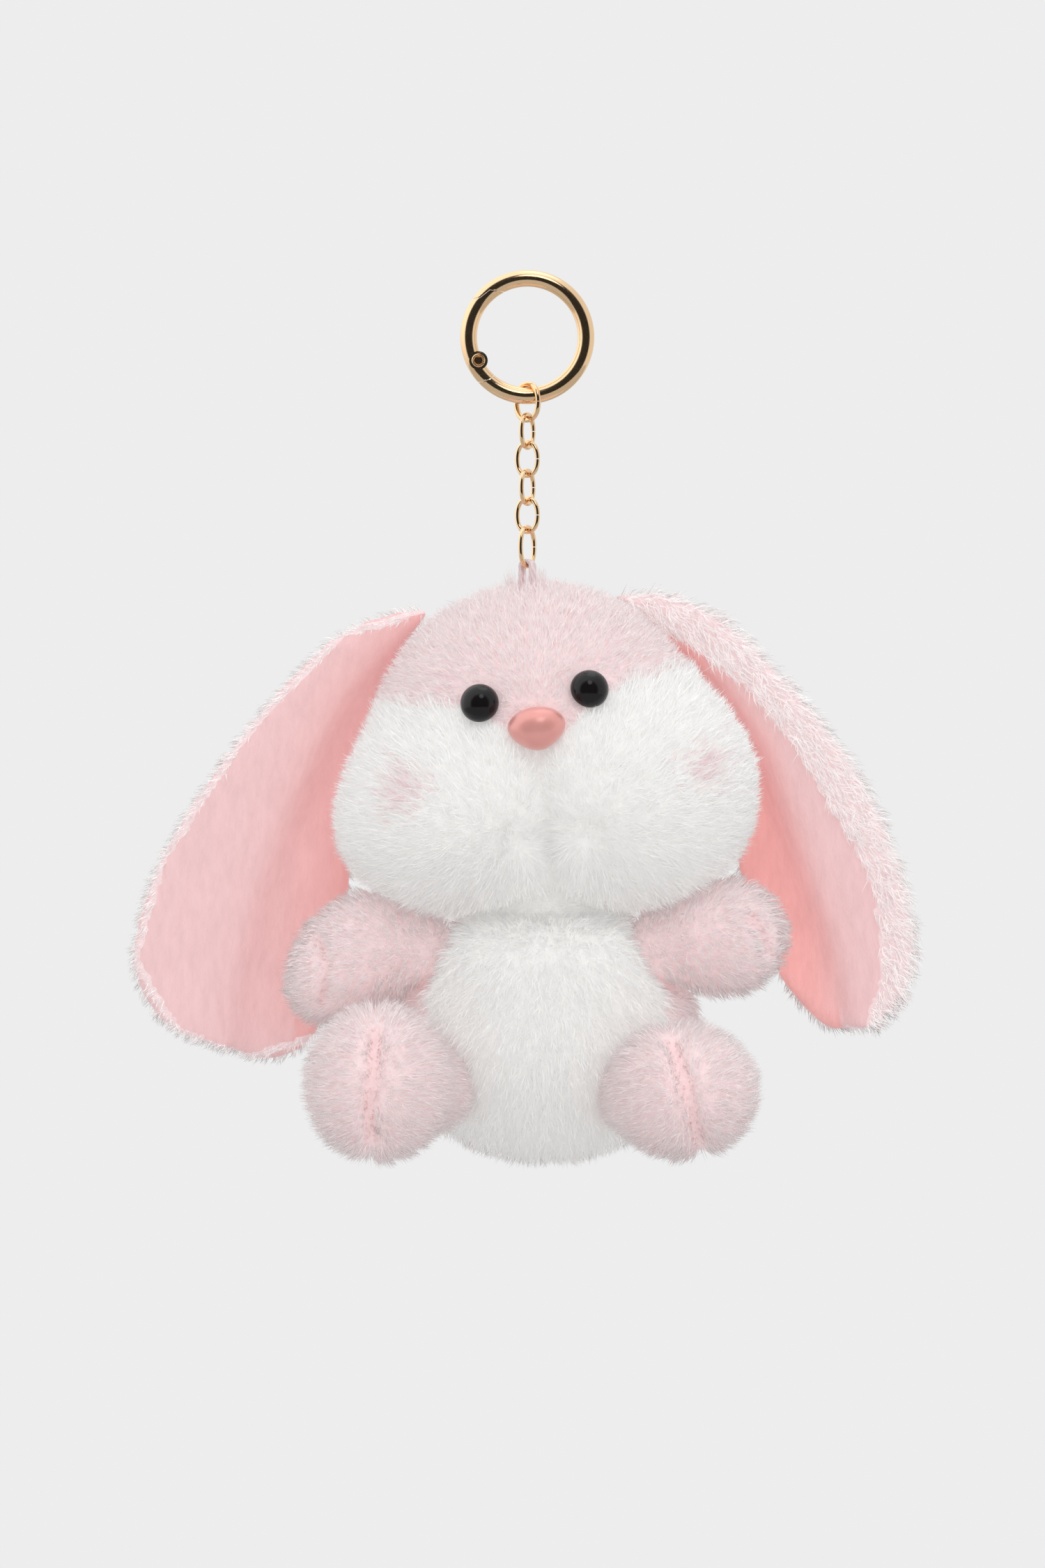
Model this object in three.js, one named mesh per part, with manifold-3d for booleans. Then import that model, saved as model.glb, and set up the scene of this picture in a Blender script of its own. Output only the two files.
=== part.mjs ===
// Plush rabbit keychain: a spring-gate ring, a short link chain and a stuffed rabbit hanging from it.
// Millimetres. +Z is up, +X is to the right of someone facing the rabbit, and the face looks along -Y.
// The origin is the top of the ring's opening, where a hook or strap carries the keychain.
import * as THREE from "three";
import { mergeVertices } from "three/addons/utils/BufferGeometryUtils.js";
import Module from "manifold-3d";

const wasm = await Module();
wasm.setup();

// ---- Driving dimensions ----
const ringOuterD = 28; // spring-gate ring, outside
const ringWireD = 3.5; // its round section
const pinD = 1.6; // gate hinge pin, a hollow rivet
const pinBoreD = 0.9;
const pinHeadD = 2.8;
const pinInset = 0.9; // how far the pin sits inside the section's centre line
const pinAngle = 206; // degrees round the ring from +X
const lugR = 1.95; // round lug of the gate, about the pin
const lugT = ringWireD - 0.3;
const knuckleR = 4.4; // round end of the gate, about the pin
const tongueT = 1.3; // flat tongue of the ring body, inside the gate's slot
const tongueR = 1.6;
const runningGap = 0.1; // clearance round the pin and the spring
const gateGap = 0.2; // clearance between gate and ring body
const slotLift = 2.1; // the slot's top above the pin
const coilR = 0.8; // spring inside the gate
const coilWireD = 0.4;
const coilHeight = 5;
const coilTurns = 5;

const topRingRoom = { along: 5.3, across: 4.7 }; // how much longer and wider than the gate ring's wire
const topRing = { // oval jump ring on the gate ring
  length: ringWireD + topRingRoom.along,
  width: ringWireD + topRingRoom.across,
  wire: 1.2,
  turn: -50,
};
const link = { length: 8.0, width: 5.9, wire: 1.0 };
const linkTurns = [60, -30, 60, -30]; // degrees about Z from facing front
const endRing = { length: 9.4, width: 6.6, wire: 1.0, turn: 60 }; // oval jump ring in the rabbit's loop
const hangGap = 0.14; // between a link and the one it hangs on

const tapeT = 0.8; // woven loop sewn in the crown
const tapeW = 2.2;
const tapeEnd = 6.5; // how far its ends go below the crown

const plushShift = [-1.2, 1.9]; // in X and Y, puts the rabbit's centre of mass nearly under the chain
const crownDrop = 4.24; // from the wire in the sewn loop down to the crown
const wall = 1.6; // plush cloth with its backing
const seamGap = 0.3; // between panels that are sewn to each other
const fillGap = 0.3; // between cloth and stuffing
const sliver = 0.06; // detail finer than this is left out

const headAt = [4.1, 0, -100.2];
const headRoll = -7; // degrees about +Y: the crown leans to the left
const headBlend = 0.3; // how sharply rounded masses meet, 1/mm
const headMasses = [
  { at: [0, 1, 9], half: [32.5, 29, 28.5] }, // crown
  { at: [-19.5, -8, -8], half: [23.6, 23, 19.2] }, // left cheek
  { at: [19.5, -8, -8], half: [24, 23, 23] }, // right cheek
  { at: [0, 7, -4], half: [33, 23, 21] }, // back of the head
];
// Pink above this line and white below it: distance from the middle, height. Both sides are alike.
const faceSeam = [[0, 3], [8, 8.5], [13, 12], [20, 14.3], [30, 16], [60, 15.5]];

const eye = { width: 8, height: 8, dome: 4.1, at: [[-11.5, 14.35], [11.5, 14.35]] };
const nose = { width: 11.8, height: 9, dome: 4.4, at: [0, 7.8] };
const shankD = 2.4;
const shankLength = 7;
const washerD = 8;
const washerT = 1.1;

const neckAt = [4.6, 3, -129]; // the head nods about this point
const neckR = 12;
const neckGap = 0.8;
const bodyBlend = 0.35;
const bodyMasses = [
  { at: [5, 2, -157.3], half: [30.3, 25, 24] },
  { at: [5, 2.5, -146], half: [26.5, 19, 14] },
];
const bellyEdge = [[19, -120], [22.5, -137], [24.5, -148], [25, -162], [18, -190]]; // half width, height
const sideSeamY = 0;

const limbBlend = 0.5;
const rootGap = 0.6; // between a limb's rounded root and the body
const limbClear = 2; // between the rest of a limb and the body
// The first mass is the rounded root, about whose centre the limb turns.
const limbs = {
  arm_left: {
    seam: [0.72, 0.25, -0.69],
    masses: [
      { at: [-20.5, -3, -138.8], half: [7.6, 7.6, 7.6] },
      { at: [-29.5, -5, -138.2], half: [8.6, 8.6, 8.6] },
      { at: [-37.6, -7, -142], half: [9.3, 9.4, 12.8], turn: 42 },
    ],
  },
  arm_right: {
    seam: [0.1, 0.3, 1],
    masses: [
      { at: [29, -4, -138.2], half: [7.6, 7.6, 7.6] },
      { at: [42.2, -7, -136.2], half: [12.8, 10.4, 10.2] },
    ],
  },
  leg_left: {
    seam: [1, 0.05, 0.1],
    masses: [
      { at: [-19.5, -13.5, -166], half: [9, 9, 9] },
      { at: [-29.6, -28, -165], half: [13.8, 14.2, 15.2] },
    ],
  },
  leg_right: {
    seam: [1, -0.05, 0.25],
    masses: [
      { at: [25.5, -13.5, -167], half: [9, 9, 9] },
      { at: [33.3, -28, -166.7], half: [14.3, 14.2, 12.8] },
    ],
  },
};
const tailR = 7.2;
const tailAt = [5, 29, -167.5];

const earClothT = 1.8; // each of an ear's two layers
const earGap = 0.3; // between the layers
const earClear = 1; // between an ear and the head
const foldAt = 0.56; // where across the ear its fold lies, from outer to inner edge
// Each ear runs from its root to its tip. The edges are in X and Z; the depths are Y behind the middle of the
// head: at the outer edge, before the fold, behind the fold and at the inner edge.
const ears = {
  ear_left: {
    outer: [[-19, -67], [-28.5, -68.4], [-38, -72.6], [-47.5, -81], [-57.8, -93.2], [-68, -107.2],
      [-75.6, -119.8], [-79.6, -131], [-81.4, -141], [-78.4, -149.4], [-72.4, -155.6], [-64, -158.6]],
    inner: [[-25.4, -76], [-29.6, -85], [-33, -94], [-35, -104], [-35.6, -114], [-36.4, -124],
      [-37.6, -134], [-39, -143], [-41, -151], [-44.4, -157.6], [-50, -161.2], [-57.5, -161.4]],
    depths: [[1, 3, 6, 8], [1, 5, 12, 13], [2, 6, 15, 14], [3, 7, 14, 12], [4, 7, 11, 11]],
  },
  ear_right: {
    outer: [[18.6, -64.6], [28.6, -65.4], [38, -69.8], [47.4, -77.8], [56.4, -87.2], [64.6, -98],
      [71.2, -109], [75.8, -119.6], [79, -131], [79.8, -142], [77.2, -150.6], [71.6, -155.6]],
    inner: [[29.2, -72.6], [35.2, -81], [40.6, -89.4], [43.8, -98], [45, -107], [45.4, -116],
      [46.6, -125], [49, -133], [52.4, -140.4], [56.6, -147.2], [61.4, -152.6], [66, -156]],
    depths: [[1, 3, 6, 8], [1, 5, 12, 13], [2, 6, 15, 14], [3, 7, 14, 12], [4, 7, 11, 11]],
  },
};

// ---- Colours ----
const colour = (hex, roughness, metalness = 0) =>
  new THREE.MeshStandardMaterial({ color: hex, roughness, metalness });
const gold = colour(0xe9c08a, 0.16, 1);
const pinkPlush = colour(0xf7dcdc, 0.95);
const whitePlush = colour(0xf3f1ef, 0.95);
const earLining = colour(0xf4b6b8, 0.9);
const fibre = colour(0xfafafa, 1);
const blackPlastic = colour(0x141314, 0.12);
const pearlPink = colour(0xe79a90, 0.25, 0.1);
const washerPlastic = colour(0xf0f0ee, 0.5);
const tape = colour(0xf2e6e2, 0.8);

// ---- Solids ----
const radians = THREE.MathUtils.degToRad;
const vec = (a) => new THREE.Vector3(...a);

function solid(geometry) {
  const bare = geometry.index ? geometry.toNonIndexed() : geometry.clone();
  bare.deleteAttribute("normal");
  bare.deleteAttribute("uv");
  const merged = mergeVertices(bare, 1e-4);
  const vertProperties = merged.attributes.position.array;
  const triVerts = new Uint32Array(merged.index.array);
  return new wasm.Manifold(new wasm.Mesh({ numProp: 3, vertProperties, triVerts }));
}

function geometryOf(manifold) {
  const { vertProperties, triVerts } = manifold.getMesh();
  const geometry = new THREE.BufferGeometry();
  geometry.setAttribute("position", new THREE.BufferAttribute(vertProperties, 3));
  geometry.setIndex(new THREE.BufferAttribute(triVerts, 1));
  return geometry;
}

const block = (size, at) => solid(new THREE.BoxGeometry(...size).translate(...at));
const barY = (r, length, at, sides = 14) =>
  solid(new THREE.CylinderGeometry(r, r, length, sides).translate(...at));
const ball = (r, at, sectors = 14, rings = 9) =>
  solid(new THREE.SphereGeometry(r, sectors, rings).translate(...at));
const lathe = (profile, sides) =>
  new THREE.LatheGeometry(profile.map(([r, h]) => new THREE.Vector2(r, h)), sides);

// Everything on the side of a plane that its normal points to.
function halfSpace(normal, through, offset = 0) {
  const big = 500;
  const geometry = new THREE.BoxGeometry(big, big, big).translate(0, 0, big / 2 + offset);
  const turn = new THREE.Quaternion().setFromUnitVectors(new THREE.Vector3(0, 0, 1), vec(normal).normalize());
  return solid(geometry.applyQuaternion(turn).translate(...through));
}
// An outline in X and Z, from yFront back to yBack.
function prism(outline, yFront, yBack) {
  const shape = new THREE.Shape(outline.map(([x, z]) => new THREE.Vector2(x, z)));
  const geometry = new THREE.ExtrudeGeometry(shape, { depth: yBack - yFront, bevelEnabled: false });
  return solid(geometry.rotateX(Math.PI / 2).translate(0, yBack, 0));
}
// The main piece of a cut, without loose crumbs and slivers.
const largest = (m) => m.simplify(sliver).decompose().reduce((a, b) => (b.volume() > a.volume() ? b : a));

const root = new THREE.Group();
function group(at, parent = root) {
  const g = new THREE.Group();
  g.position.set(...at);
  parent.add(g);
  return g;
}
function part(name, shape, material, parent = root) {
  const geometry = shape.isBufferGeometry ? shape : geometryOf(largest(shape));
  const mesh = new THREE.Mesh(geometry, material);
  mesh.name = name;
  parent.add(mesh);
  return mesh;
}

// ---- Soft masses: a smooth union of ellipsoids ----
const upAxis = new THREE.Vector3(0, 1, 0);
function depthIn(masses, blend, p) {
  let sum = 0;
  const q = new THREE.Vector3();
  for (const { at, half, turn = 0 } of masses) {
    q.copy(p).sub(vec(at)).applyAxisAngle(upAxis, -radians(turn));
    const f = Math.hypot(q.x / half[0], q.y / half[1], q.z / half[2]);
    sum += Math.exp(-blend * (f - 1) * Math.min(...half));
  }
  return -Math.log(sum) / blend;
}
// How far the surface is from a point inside, in a direction.
function reach(masses, blend, from, direction) {
  let near = 0;
  let far = 90;
  const p = new THREE.Vector3();
  while (far - near > 1e-4) {
    const middle = (near + far) / 2;
    p.copy(direction).multiplyScalar(middle).add(from);
    if (depthIn(masses, blend, p) < 0) near = middle;
    else far = middle;
  }
  return near;
}
function outward(masses, blend, p) {
  const slope = [0, 1, 2].map((axis) => {
    const step = new THREE.Vector3().setComponent(axis, 0.05);
    return depthIn(masses, blend, p.clone().add(step)) - depthIn(masses, blend, p.clone().sub(step));
  });
  return vec(slope).normalize();
}
// The closed surface of the masses, drawn in by inset.
function softShape(masses, blend, inset, sectors, rings) {
  const geometry = new THREE.SphereGeometry(1, sectors, rings).rotateX(Math.PI / 2);
  const position = geometry.attributes.position;
  const centre = new THREE.Vector3();
  masses.forEach((m) => centre.add(vec(m.at).divideScalar(masses.length)));
  const d = new THREE.Vector3();
  for (let i = 0; i < position.count; i++) {
    d.fromBufferAttribute(position, i).normalize();
    const r = reach(masses, blend, centre, d) - inset;
    d.multiplyScalar(r).add(centre);
    position.setXYZ(i, d.x, d.y, d.z);
  }
  return solid(geometry);
}
function softSkin(masses, blend, sectors, rings) {
  const outer = softShape(masses, blend, 0, sectors, rings);
  return {
    outer,
    cloth: outer.subtract(softShape(masses, blend, wall, sectors, rings)),
    fill: softShape(masses, blend, wall + fillGap, sectors, rings),
  };
}

// ---- Gate ring: the body and the gate meet at a hooked latch and at the pin ----
const wireR = ringWireD / 2;
const ringR = ringOuterD / 2 - wireR;
const ringGroup = group([0, 0, wireR - ringR]);
const onRing = (angle, r = ringR) => [r * Math.cos(radians(angle)), 0, r * Math.sin(radians(angle))];
const pinAt = onRing(pinAngle, ringR - pinInset);

const fullRing = solid(new THREE.TorusGeometry(ringR, wireR, 10, 40).rotateX(Math.PI / 2));
// The hooked latch crosses the section: angle round the ring, distance from the centre line in wire radii.
const latch = [[154.3, 3.15], [144.6, 0.785], [140.4, 0.266], [128.8, 0.112], [113.5, -1.27]];
const latchLine = latch.map(([angle, across]) => {
  const [x, , z] = onRing(angle, ringR + across * wireR);
  return [x, z];
});
const insideX = pinAt[0] + knuckleR + 1.6;
const outsideX = -ringR - 3.3 * wireR;
const besideGate = [[insideX, 5], [insideX, pinAt[2]], [outsideX, pinAt[2]]];
const knuckle = barY(knuckleR, 10, pinAt, 24).subtract(halfSpace([0, 0, 1], pinAt));
const gateRegion = prism([...latchLine, ...besideGate], -5, 5).add(knuckle);
const raised = latchLine.map(([x, z]) => [x - gateGap * 0.3, z + gateGap]);
const bodyCut = prism([...raised, ...besideGate], -5, 5).add(barY(knuckleR + gateGap, 10, pinAt, 24));
const pinHole = barY(pinD / 2 + runningGap, 10, pinAt);

const tongueRoot = onRing(pinAngle + 24);
const tongueRun = [tongueRoot[0] - pinAt[0], tongueRoot[2] - pinAt[2]];
const tongueLength = Math.hypot(...tongueRun);
const tongue = solid(
  new THREE.BoxGeometry(tongueLength, tongueT, 2 * tongueR - 0.3)
    .translate(tongueLength / 2, 0, 0)
    .rotateY(-Math.atan2(tongueRun[1], tongueRun[0]))
    .translate(...pinAt),
).add(barY(tongueR, tongueT, pinAt));
part("ring_body", fullRing.subtract(bodyCut).add(tongue).subtract(pinHole), gold, ringGroup);

const slotT = tongueT + 0.5;
const slotWidth = 2 * knuckleR + 3;
const slot = block([slotWidth, slotT, slotWidth], [pinAt[0], 0, pinAt[2] + slotLift - slotWidth / 2]);
const coilX = -ringR + 0.15;
const coilFoot = pinAt[2] + slotLift;
const coilPocketLength = coilHeight + 0.6;
const coilPocket = solid(
  new THREE.CylinderGeometry(coilR + coilWireD / 2 + runningGap, coilR + coilWireD / 2 + runningGap,
    coilPocketLength, 12)
    .rotateX(Math.PI / 2)
    .translate(coilX, 0, coilFoot + coilPocketLength / 2 - 0.3),
);
const gate = fullRing.intersect(gateRegion).add(barY(lugR, lugT, pinAt));
part("ring_gate", gate.subtract(slot).subtract(pinHole).subtract(coilPocket), gold, ringGroup);

class Helix extends THREE.Curve {
  getPoint(t) {
    const a = 2 * Math.PI * coilTurns * t;
    const climb = (coilHeight - coilWireD) * t + coilWireD / 2;
    return new THREE.Vector3(coilX + coilR * Math.cos(a), coilR * Math.sin(a), coilFoot + climb);
  }
}
const coilSection = new THREE.Shape().absarc(0, 0, coilWireD / 2, 0, 2 * Math.PI);
const coilSteps = coilTurns * 7;
part("gate_spring", solid(new THREE.ExtrudeGeometry(coilSection,
  { steps: coilSteps, curveSegments: 3, extrudePath: new Helix() })), gold, ringGroup);

const headY = lugT / 2 + runningGap;
const pinHeadT = 0.35;
const pinProfile = [
  [pinBoreD / 2, -headY - pinHeadT], [pinHeadD / 2 - 0.15, -headY - pinHeadT],
  [pinHeadD / 2, -headY - pinHeadT / 2], [pinHeadD / 2, -headY], [pinD / 2, -headY],
  [pinD / 2, headY], [pinHeadD / 2, headY], [pinHeadD / 2, headY + pinHeadT / 2],
  [pinHeadD / 2 - 0.15, headY + pinHeadT], [pinBoreD / 2, headY + pinHeadT],
  [pinBoreD / 2, -headY - pinHeadT],
];
part("gate_pin", lathe(pinProfile, 14).translate(...pinAt), gold, ringGroup);

// ---- Chain: each oval hangs in the one above, turned about Z from its neighbour ----
class Oval extends THREE.Curve {
  constructor(length, width) {
    super();
    this.halfLength = length / 2;
    this.halfWidth = width / 2;
  }
  getPoint(t) {
    const a = 2 * Math.PI * t;
    const squarer = (v) => Math.sign(v) * Math.abs(v) ** 0.86;
    return new THREE.Vector3(this.halfWidth * squarer(Math.cos(a)), 0, this.halfLength * squarer(Math.sin(a)));
  }
}
let hangZ = 2 * (wireR - ringR); // top of the wire that the next oval hangs on
function hangOval(name, { length, width, wire }, turn, segments) {
  const top = hangZ + hangGap + wire;
  const path = new Oval(length - wire, width - wire);
  const mesh = part(name, solid(new THREE.TubeGeometry(path, segments, wire / 2, 6, true)), gold);
  mesh.position.set(0, 0, top - length / 2);
  mesh.rotation.z = radians(turn);
  hangZ = top - length + wire;
}
hangOval("top_ring", topRing, topRing.turn, 20);
linkTurns.forEach((turn, i) => hangOval("link_" + (i + 1), link, turn, 16));
hangOval("end_ring", endRing, endRing.turn, 18);

// ---- Hanging loop: a folded tape round the end ring's wire ----
const crownHeight = headAt[2] + headMasses[0].at[2] + headMasses[0].half[2];
const plushAt = [...plushShift, hangZ - endRing.wire / 2 - crownDrop - crownHeight];
const plush = group(plushAt);
const loopInner = endRing.wire / 2 + 0.35;
const loopAxisZ = hangZ - endRing.wire / 2;
const loopFootZ = loopAxisZ - crownDrop - tapeEnd;
function loopShape(grow) {
  const r = loopInner + tapeT + grow;
  const inner = loopInner - grow;
  const outerTurn = barY(r, tapeW + 2 * grow, [0, 0, loopAxisZ]);
  const height = loopAxisZ - loopFootZ + grow;
  const legs = block([2 * r, tapeW + 2 * grow, height], [0, 0, loopAxisZ - height / 2]);
  const folded = outerTurn.add(legs);
  if (grow > 0) return folded.rotate([0, 0, endRing.turn - 90]);
  const opening = block([2 * inner, 10, height + 2], [0, 0, loopAxisZ - height / 2 - 1]);
  return folded.subtract(barY(inner, 10, [0, 0, loopAxisZ])).subtract(opening)
    .rotate([0, 0, endRing.turn - 90]);
}
part("hanging_loop", loopShape(0), tape);

// ---- Head ----
const headGroup = group(headAt, plush);
headGroup.rotation.y = radians(headRoll);
plush.updateMatrixWorld(true);
headGroup.updateMatrixWorld(true);
// A solid given in the rabbit's frame, as the rolled head sees it.
function inHead(manifold) {
  const geometry = geometryOf(manifold).applyMatrix4(
    new THREE.Matrix4().copy(headGroup.matrixWorld).invert().multiply(plush.matrixWorld),
  );
  return solid(geometry);
}
const head = softSkin(headMasses, headBlend, 26, 17);
const neckCut = inHead(ball(neckR + neckGap, neckAt));
const loopCut = inHead(loopShape(0.35).translate(plushAt.map((x) => -x)));
head.cloth = head.cloth.subtract(neckCut).subtract(loopCut);
head.fill = head.fill.subtract(neckCut).subtract(loopCut);

const faceLine = [...faceSeam.slice(1).map(([x, z]) => [-x, z]).reverse(), ...faceSeam];
const below = (lift) => prism([...faceLine.map(([x, z]) => [x, z + lift]), [60, -60], [-60, -60]], -80, 80);
const crownSeamY = -plushShift[1]; // the loop is sewn in this seam
const front = halfSpace([0, -1, 0], [0, crownSeamY, 0], seamGap / 2);
const back = halfSpace([0, 1, 0], [0, crownSeamY, 0], seamGap / 2);
const leftHalf = halfSpace([-1, 0, 0], [0, 0, 0], seamGap / 2);
const rightHalf = halfSpace([1, 0, 0], [0, 0, 0], seamGap / 2);

// A trim piece on the face: a dome outside, its shank through the cloth and a washer inside.
function faceTrim(name, spec, [x, z], material) {
  const from = new THREE.Vector3(x, -5, z);
  const at = new THREE.Vector3(x, -5 - reach(headMasses, headBlend, from, new THREE.Vector3(0, -1, 0)), z);
  const axis = outward(headMasses, headBlend, at);
  const seat = new THREE.Quaternion().setFromUnitVectors(new THREE.Vector3(0, 1, 0), axis);
  const place = (geometry, depth) =>
    geometry.translate(0, -depth, 0).applyQuaternion(seat).translate(at.x, at.y, at.z);
  const half = spec.width / 2;
  const profile = [[0, -shankLength], [shankD / 2 - 0.3, -shankLength], [shankD / 2, -shankLength + 0.4],
    [shankD / 2, 0], [half * 0.94, 0], [half, 0.5]];
  const steps = 4;
  for (let i = 1; i <= steps; i++) {
    const a = (i / steps) * (Math.PI / 2);
    profile.push([i < steps ? half * Math.cos(a) : 0, 0.5 + (spec.dome - 0.5) * Math.sin(a)]);
  }
  const dome = lathe(profile, 14);
  if (spec.height !== spec.width) shapeNose(dome, spec);
  part(name, place(dome, -fillGap), material, headGroup);
  const hole = place(new THREE.CylinderGeometry(shankD / 2 + 0.2, shankD / 2 + 0.2, 8, 10), 2);
  head.cloth = head.cloth.subtract(solid(hole));
  const pocketDepth = shankLength + 0.8;
  const pocket = place(new THREE.CylinderGeometry(washerD / 2 + 0.4, washerD / 2 + 0.4, pocketDepth, 12),
    pocketDepth / 2);
  head.fill = head.fill.subtract(solid(pocket));
  const washerDepth = wall + 1.1;
  const bore = shankD / 2 + 0.12;
  const washer = lathe([[bore, -washerT], [washerD / 2, -washerT], [washerD / 2, -0.3], [washerD / 2 - 0.3, 0],
    [bore, 0], [bore, -washerT]], 12);
  part(name + "_washer", place(washer, washerDepth), washerPlastic, headGroup);
}
// Turns a round dome into a soft triangle, wide at the top. Only the part outside the cloth changes.
function shapeNose(geometry, { width, height }) {
  const position = geometry.attributes.position;
  for (let i = 0; i < position.count; i++) {
    if (Math.hypot(position.getX(i), position.getZ(i)) < shankD / 2 + 0.01 && position.getY(i) < 0.1) continue;
    const up = position.getZ(i) / (width / 2);
    position.setX(i, position.getX(i) * (1 + 0.16 * up - 0.1 * up * up));
    position.setZ(i, position.getZ(i) * (height / width));
  }
}
faceTrim("eye_left", eye, eye.at[0], blackPlastic);
faceTrim("eye_right", eye, eye.at[1], blackPlastic);
faceTrim("nose", nose, nose.at, pearlPink);

const frontCloth = head.cloth.intersect(front);
const backCloth = head.cloth.intersect(back);
part("head_face", frontCloth.subtract(below(seamGap)), pinkPlush, headGroup);
part("muzzle_left", frontCloth.intersect(below(0)).intersect(leftHalf), whitePlush, headGroup);
part("muzzle_right", frontCloth.intersect(below(0)).intersect(rightHalf), whitePlush, headGroup);
part("head_back_left", backCloth.intersect(leftHalf), pinkPlush, headGroup);
part("head_back_right", backCloth.intersect(rightHalf), pinkPlush, headGroup);
part("head_stuffing", head.fill, fibre, headGroup);

// ---- Body ----
const body = softSkin(bodyMasses, bodyBlend, 22, 14);
const neck = ball(neckR, neckAt);
// The rounded neck goes up into the head's socket, and is stuffed like the rest.
const neckInner = ball(neckR - wall, neckAt);
const neckFill = ball(neckR - wall - fillGap, neckAt);
const bodyOuter = body.outer.add(neck);
body.cloth = bodyOuter.subtract(body.outer.subtract(body.cloth)).subtract(neckInner);
body.fill = body.fill.add(neckFill);
const limbCuts = Object.values(limbs).map(({ masses: [m] }) => ball(m.half[0] + rootGap, m.at));
for (const cut of limbCuts) {
  body.cloth = body.cloth.subtract(cut);
  body.fill = body.fill.subtract(cut);
}
const bodyX = bodyMasses[0].at[0];
const bellyOutline = (grow) => [
  ...bellyEdge.map(([w, z]) => [bodyX + w + grow, z]),
  ...bellyEdge.map(([w, z]) => [bodyX - w - grow, z]).reverse(),
];
const bellyPrism = (grow) => prism(bellyOutline(grow), -60, sideSeamY + grow);
const bodySide = (sign) => halfSpace([sign, 0, 0], [bodyX, 0, 0], seamGap / 2);
const pinkBody = body.cloth.subtract(bellyPrism(seamGap));
part("belly", body.cloth.intersect(bellyPrism(0)), whitePlush, plush);
part("body_left", pinkBody.intersect(bodySide(-1)), pinkPlush, plush);
part("body_right", pinkBody.intersect(bodySide(1)), pinkPlush, plush);
part("body_stuffing", body.fill, fibre, plush);

const clearOfBody = softShape(bodyMasses, bodyBlend, -seamGap, 22, 14);
const tailCloth = ball(tailR, tailAt).subtract(ball(tailR - wall, tailAt)).subtract(clearOfBody);
part("tail", tailCloth, whitePlush, plush);
part("tail_stuffing", ball(tailR - wall - fillGap, tailAt, 12, 8).subtract(clearOfBody), fibre, plush);

// ---- Arms and legs: two panels each, sewn round the limb, and stuffing ----
const roundBody = softShape(bodyMasses, bodyBlend, -limbClear, 22, 14);
for (const [name, { masses, seam }] of Object.entries(limbs)) {
  const skin = softSkin(masses, limbBlend, 16, 11);
  const besideRoot = roundBody.subtract(ball(masses[0].half[0] + 0.2, masses[0].at));
  skin.cloth = skin.cloth.subtract(besideRoot);
  skin.fill = skin.fill.subtract(besideRoot);
  const through = masses[masses.length - 1].at;
  const away = seam.map((n) => -n);
  part(name + "_inner", skin.cloth.intersect(halfSpace(seam, through, seamGap / 2)), pinkPlush, plush);
  part(name + "_outer", skin.cloth.intersect(halfSpace(away, through, seamGap / 2)), pinkPlush, plush);
  part(name + "_stuffing", skin.fill, fibre, plush);
}

// ---- Ears: a lining in front of an outer layer, folded lengthwise ----
const headClear = (() => {
  const shape = softShape(headMasses, headBlend, -earClear, 26, 17);
  headGroup.updateMatrix();
  return solid(geometryOf(shape).applyMatrix4(headGroup.matrix));
})();
function earSheet({ outer, inner, depths }, from, to) {
  const along = 15;
  const across = 8;
  const curveOf = (points) => new THREE.CatmullRomCurve3(points.map(([x, z]) => new THREE.Vector3(x, 0, z)));
  const outerCurve = curveOf(outer);
  const innerCurve = curveOf(inner);
  const depthCurves = [0, 1, 2, 3].map((k) =>
    new THREE.CatmullRomCurve3(depths.map((row, i) => new THREE.Vector3(i / (depths.length - 1), row[k], 0))));
  const stations = [0, foldAt - 0.1, foldAt + 0.14, 1];
  const ease = (t) => t * t * (3 - 2 * t);
  const middle = (u, v) => {
    const p = outerCurve.getPoint(u).lerp(innerCurve.getPoint(u), v);
    const k = v < stations[1] ? 0 : v < stations[2] ? 1 : 2;
    const t = (v - stations[k]) / (stations[k + 1] - stations[k]);
    const a = depthCurves[k].getPoint(u).y;
    const b = depthCurves[k + 1].getPoint(u).y;
    p.y = a + (b - a) * (k === 1 ? ease(t) : t);
    return p;
  };
  // Front and back grids, then the rim that joins them.
  const positions = [];
  const index = [];
  const row = across + 1;
  const side = (along + 1) * row;
  for (const offset of [from, to])
    for (let i = 0; i <= along; i++)
      for (let j = 0; j <= across; j++) {
        const p = middle(i / along, j / across);
        positions.push(p.x, p.y + offset, p.z);
      }
  const quad = (a, b, c, d) => index.push(a, b, c, a, c, d);
  for (let i = 0; i < along; i++)
    for (let j = 0; j < across; j++) {
      const a = i * row + j;
      quad(a, a + 1, a + row + 1, a + row);
      quad(side + a, side + a + row, side + a + row + 1, side + a + 1);
    }
  for (let i = 0; i < along; i++) {
    const a = i * row;
    const b = a + across;
    quad(a, a + row, side + a + row, side + a);
    quad(b, side + b, side + b + row, b + row);
  }
  for (let j = 0; j < across; j++) {
    const b = along * row + j;
    quad(j, side + j, side + j + 1, j + 1);
    quad(b, b + 1, side + b + 1, side + b);
  }
  const geometry = new THREE.BufferGeometry();
  geometry.setAttribute("position", new THREE.Float32BufferAttribute(positions, 3));
  geometry.setIndex(index);
  const made = solid(geometry);
  return made.volume() > 0 ? made : solid(flipped(geometry));
}
function flipped(geometry) {
  const turned = geometry.clone();
  const { array } = turned.index;
  for (let i = 0; i < array.length; i += 3) [array[i], array[i + 1]] = [array[i + 1], array[i]];
  return turned;
}
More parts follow.
